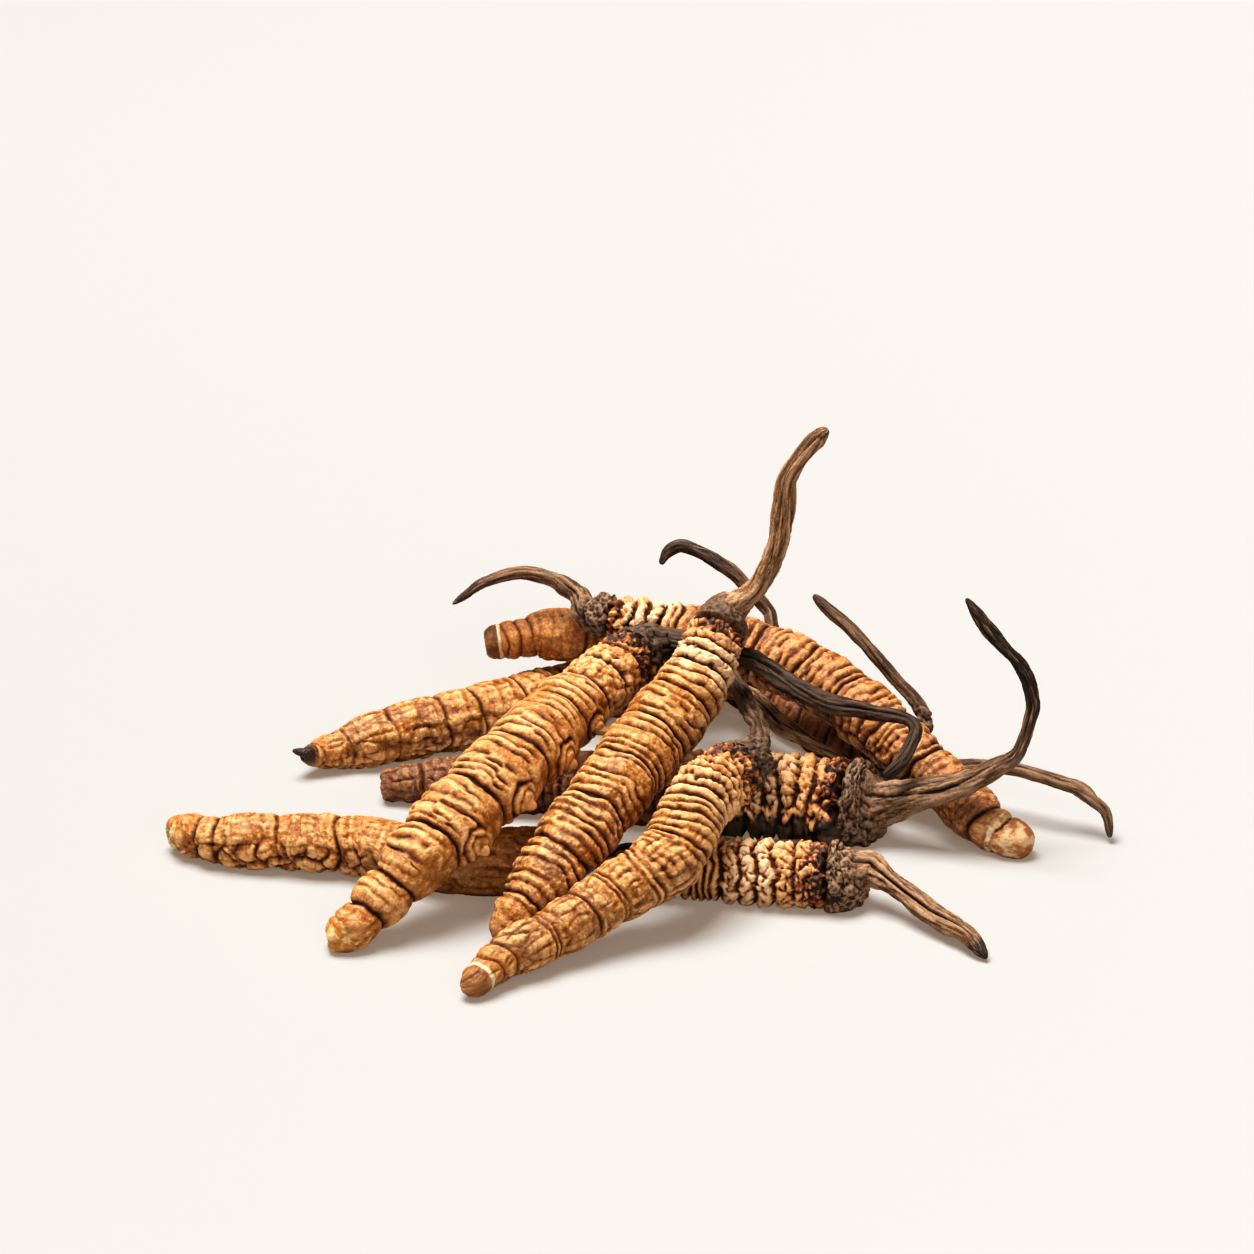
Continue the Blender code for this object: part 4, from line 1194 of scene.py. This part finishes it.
def stem_material(key):
    spec = {**PLAIN_STALK, **STALKS[key]}
    tan = spec["tan"]
    material, nodes, shader = new_material("stem_" + key)
    place = nodes.attribute("skin_place", "Vector")
    crease = nodes.attribute("crease")
    streaks = nodes.stretched(place, (0.10, 1.0, 1.0))
    streak = nodes.noise(streaks, 1.6, 3.0)
    fibre = nodes.noise(streaks, 5.0, 2.0, 0.6)
    grain = nodes.noise(place, 5.5, 2.0, 0.7)
    rubbed_and_highlight = nodes.mix(tan, *STEM_RUBBED_AND_HIGHLIGHT)
    body = nodes.mix(nodes.ramp(streak, 0.38, 0.62), nodes.mix(tan, *STEM_DARK), nodes.mix(tan, *STEM_PALE))
    body = nodes.mix(nodes.ramp(fibre, 0.52, 0.66, 0.0, 0.5), body, rubbed_and_highlight)
    body = nodes.mix(nodes.ramp(fibre, 0.46, 0.34, 0.0, 0.60), body, STEM_FIBRE)
    # Partly rubbed tan, partly painted highlight: the raised ridges between the furrows are lightened.
    body = nodes.mix(nodes.ramp(nodes.times(crease, -1.0), 0.05, 0.8, 0.0, 0.6), body, rubbed_and_highlight)
    body = nodes.mix(nodes.ramp(grain, 0.46, 0.30, 0.0, 0.55), body, STEM_SPECK)
    crust = nodes.mix(spec.get("crust_tan", tan), *COLLAR_CRUST)
    crust = nodes.mix(nodes.ramp(nodes.pebbles(place, 2.6), 0.30, 0.66), COLLAR_PIT, crust)
    body = nodes.mix(nodes.times(nodes.attribute("collar"), 0.85), body, crust)
    # Painted shade: the furrows are darkened almost to black.
    body = nodes.mix(nodes.ramp(crease, 0.2, 1.0, 0.0, 0.90), body, STEM_FURROW_SHADE)
    strength, dark_from = spec["tip"]
    tip = nodes.ramp(nodes.attribute("from_tip"), dark_from, 0.5 * dark_from, 0.0, strength)
    body = nodes.mix(nodes.times(tip, nodes.ramp(fibre, 0.74, 0.50)), body, STEM_TIP)
    roughness = nodes.ramp(grain, 0.3, 0.7, 0.55, 0.8)
    finish_surface(nodes, shader, place, body, roughness, shine=0.35, lines=0.0, strength=0.7, depth=0.10)
    return material


for key, piece in stalks.items():
    piece.data.materials.clear()
    piece.data.materials.append(stem_material(key))
print("stem materials:", len(stalks))

# %% [markdown]
# ## Tie the pieces to the imported model
#
# Nothing in the heap moves, so every piece rides on the one body, root. Each stands for the CAD
# solid of the same name, which is hidden.

# %% Ride and replace
for key, piece in larvae.items():
    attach(piece, "root")
    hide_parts("larva_" + key)
for key, piece in stalks.items():
    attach(piece, "root")
    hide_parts("stalk_" + key)
print("pieces:", len(larvae) + len(stalks))

# %% [markdown]
# ## The floor
#
# The heap lies on a seamless pale table. A real table fades away from the lamp, and the photograph's
# is even, so the paint that the camera sees gets paler with the distance from the lamp, and glows a
# little. Other rays see a plain darker floor, so that it doesn't light the heap from below.

# %% The table
# Close to the lamp, and moved a little until the floor came out even.
PALE_AROUND = (-0.09, 0.015, 0.50)
FAR_PAINT = (0.575, 0.618, 0.639, 1.0)
BOUNCED_PAINT = (0.45, 0.435, 0.415, 1.0)
GLOW = 0.185
bpy.ops.object.select_all(action="DESELECT")
bpy.ops.mesh.primitive_plane_add(size=6.0, location=(0.0, 0.0, 0.0))
floor = bpy.context.active_object
floor.name = "floor"
table, nodes, shader = new_material("pale_table")
to_camera = nodes.add("LightPath").outputs["Is Camera Ray"]
floor_place = nodes.add("TexCoord").outputs["Object"]
away = nodes.add("VectorMath", {0: floor_place, 1: PALE_AROUND}, operation="DISTANCE").outputs["Value"]
further = nodes.maths("POWER", nodes.maths("DIVIDE", away, PALE_AROUND[2]), 3.0)
paleness = nodes.add("Math", {0: further, 1: 0.5}, operation="MULTIPLY", use_clamp=True).outputs[0]
pale = nodes.mix(paleness, (0.0, 0.0, 0.0, 1.0), FAR_PAINT)
feed(nodes.tree, shader["Base Color"], nodes.mix(to_camera, BOUNCED_PAINT, pale))
feed(nodes.tree, shader["Roughness"], 0.9)
feed(nodes.tree, shader["Specular IOR Level"], 0.0)
feed(nodes.tree, shader["Emission Color"], (1.0, 0.74, 0.56, 1.0))
feed(nodes.tree, shader["Emission Strength"], nodes.times(to_camera, GLOW))
floor.data.materials.append(table)
print("the table is", [round(side, 1) for side in floor.dimensions[:2]], "m")

# %% [markdown]
# ## The lights
#
# A soft box hangs above the heap, a little to the left and behind, which lights the backs and gives
# short, soft shadows. A weaker one in front opens up the dark gaps, and a faint warm white all round
# stands for the walls of the room.


# %% Two soft boxes and the room
def soft_box(name, place, size, power, colour):
    """An area light that points at the heap."""
    bpy.ops.object.light_add(type="AREA", location=place)
    lamp = bpy.context.active_object
    lamp.name = name
    lamp.data.shape = "RECTANGLE"
    lamp.data.size, lamp.data.size_y = size
    lamp.data.energy = power
    lamp.data.color = colour
    towards = -lamp.location.normalized()
    lamp.rotation_euler = towards.to_track_quat("-Z", "Y").to_euler()


soft_box("top_light", (-0.09, 0.04, 0.50), (0.30, 0.30), 4.05, (1.0, 0.98, 0.945))
soft_box("front_light", (0.12, -0.60, 0.35), (0.5, 0.35), 1.1, (1.0, 0.98, 0.95))
world = bpy.data.worlds.new("studio")
bpy.context.scene.world = world
world.use_nodes = True
background = world.node_tree.nodes["Background"]
background.inputs["Color"].default_value = (1.0, 0.985, 0.955, 1.0)
background.inputs["Strength"].default_value = 0.12
bpy.context.scene.view_settings.view_transform = "Standard"
bpy.context.scene.view_settings.look = "High Contrast"

# %% [markdown]
# ## The camera
#
# The photograph shows little perspective, so the camera stands far away, at 40 cm, with a long lens,
# and looks down at 22.5 degrees.

# %% The camera
CAMERA_BACK = 361.22
CAMERA_HEIGHT = 173.19
CAMERA_TILT = math.radians(67.5)
camera_place = (-HEAP_MIDDLE[0] * MM, (-CAMERA_BACK - HEAP_MIDDLE[1]) * MM, CAMERA_HEIGHT * MM)
bpy.ops.object.camera_add(location=camera_place, rotation=(CAMERA_TILT, 0.0, 0.0))
camera = bpy.context.active_object
camera.name = "camera"
camera.data.lens = 122.87
camera.data.sensor_width = 36.0
camera.data.clip_start = 0.01
bpy.context.scene.camera = camera
print("camera at", [round(value, 3) for value in camera.location])
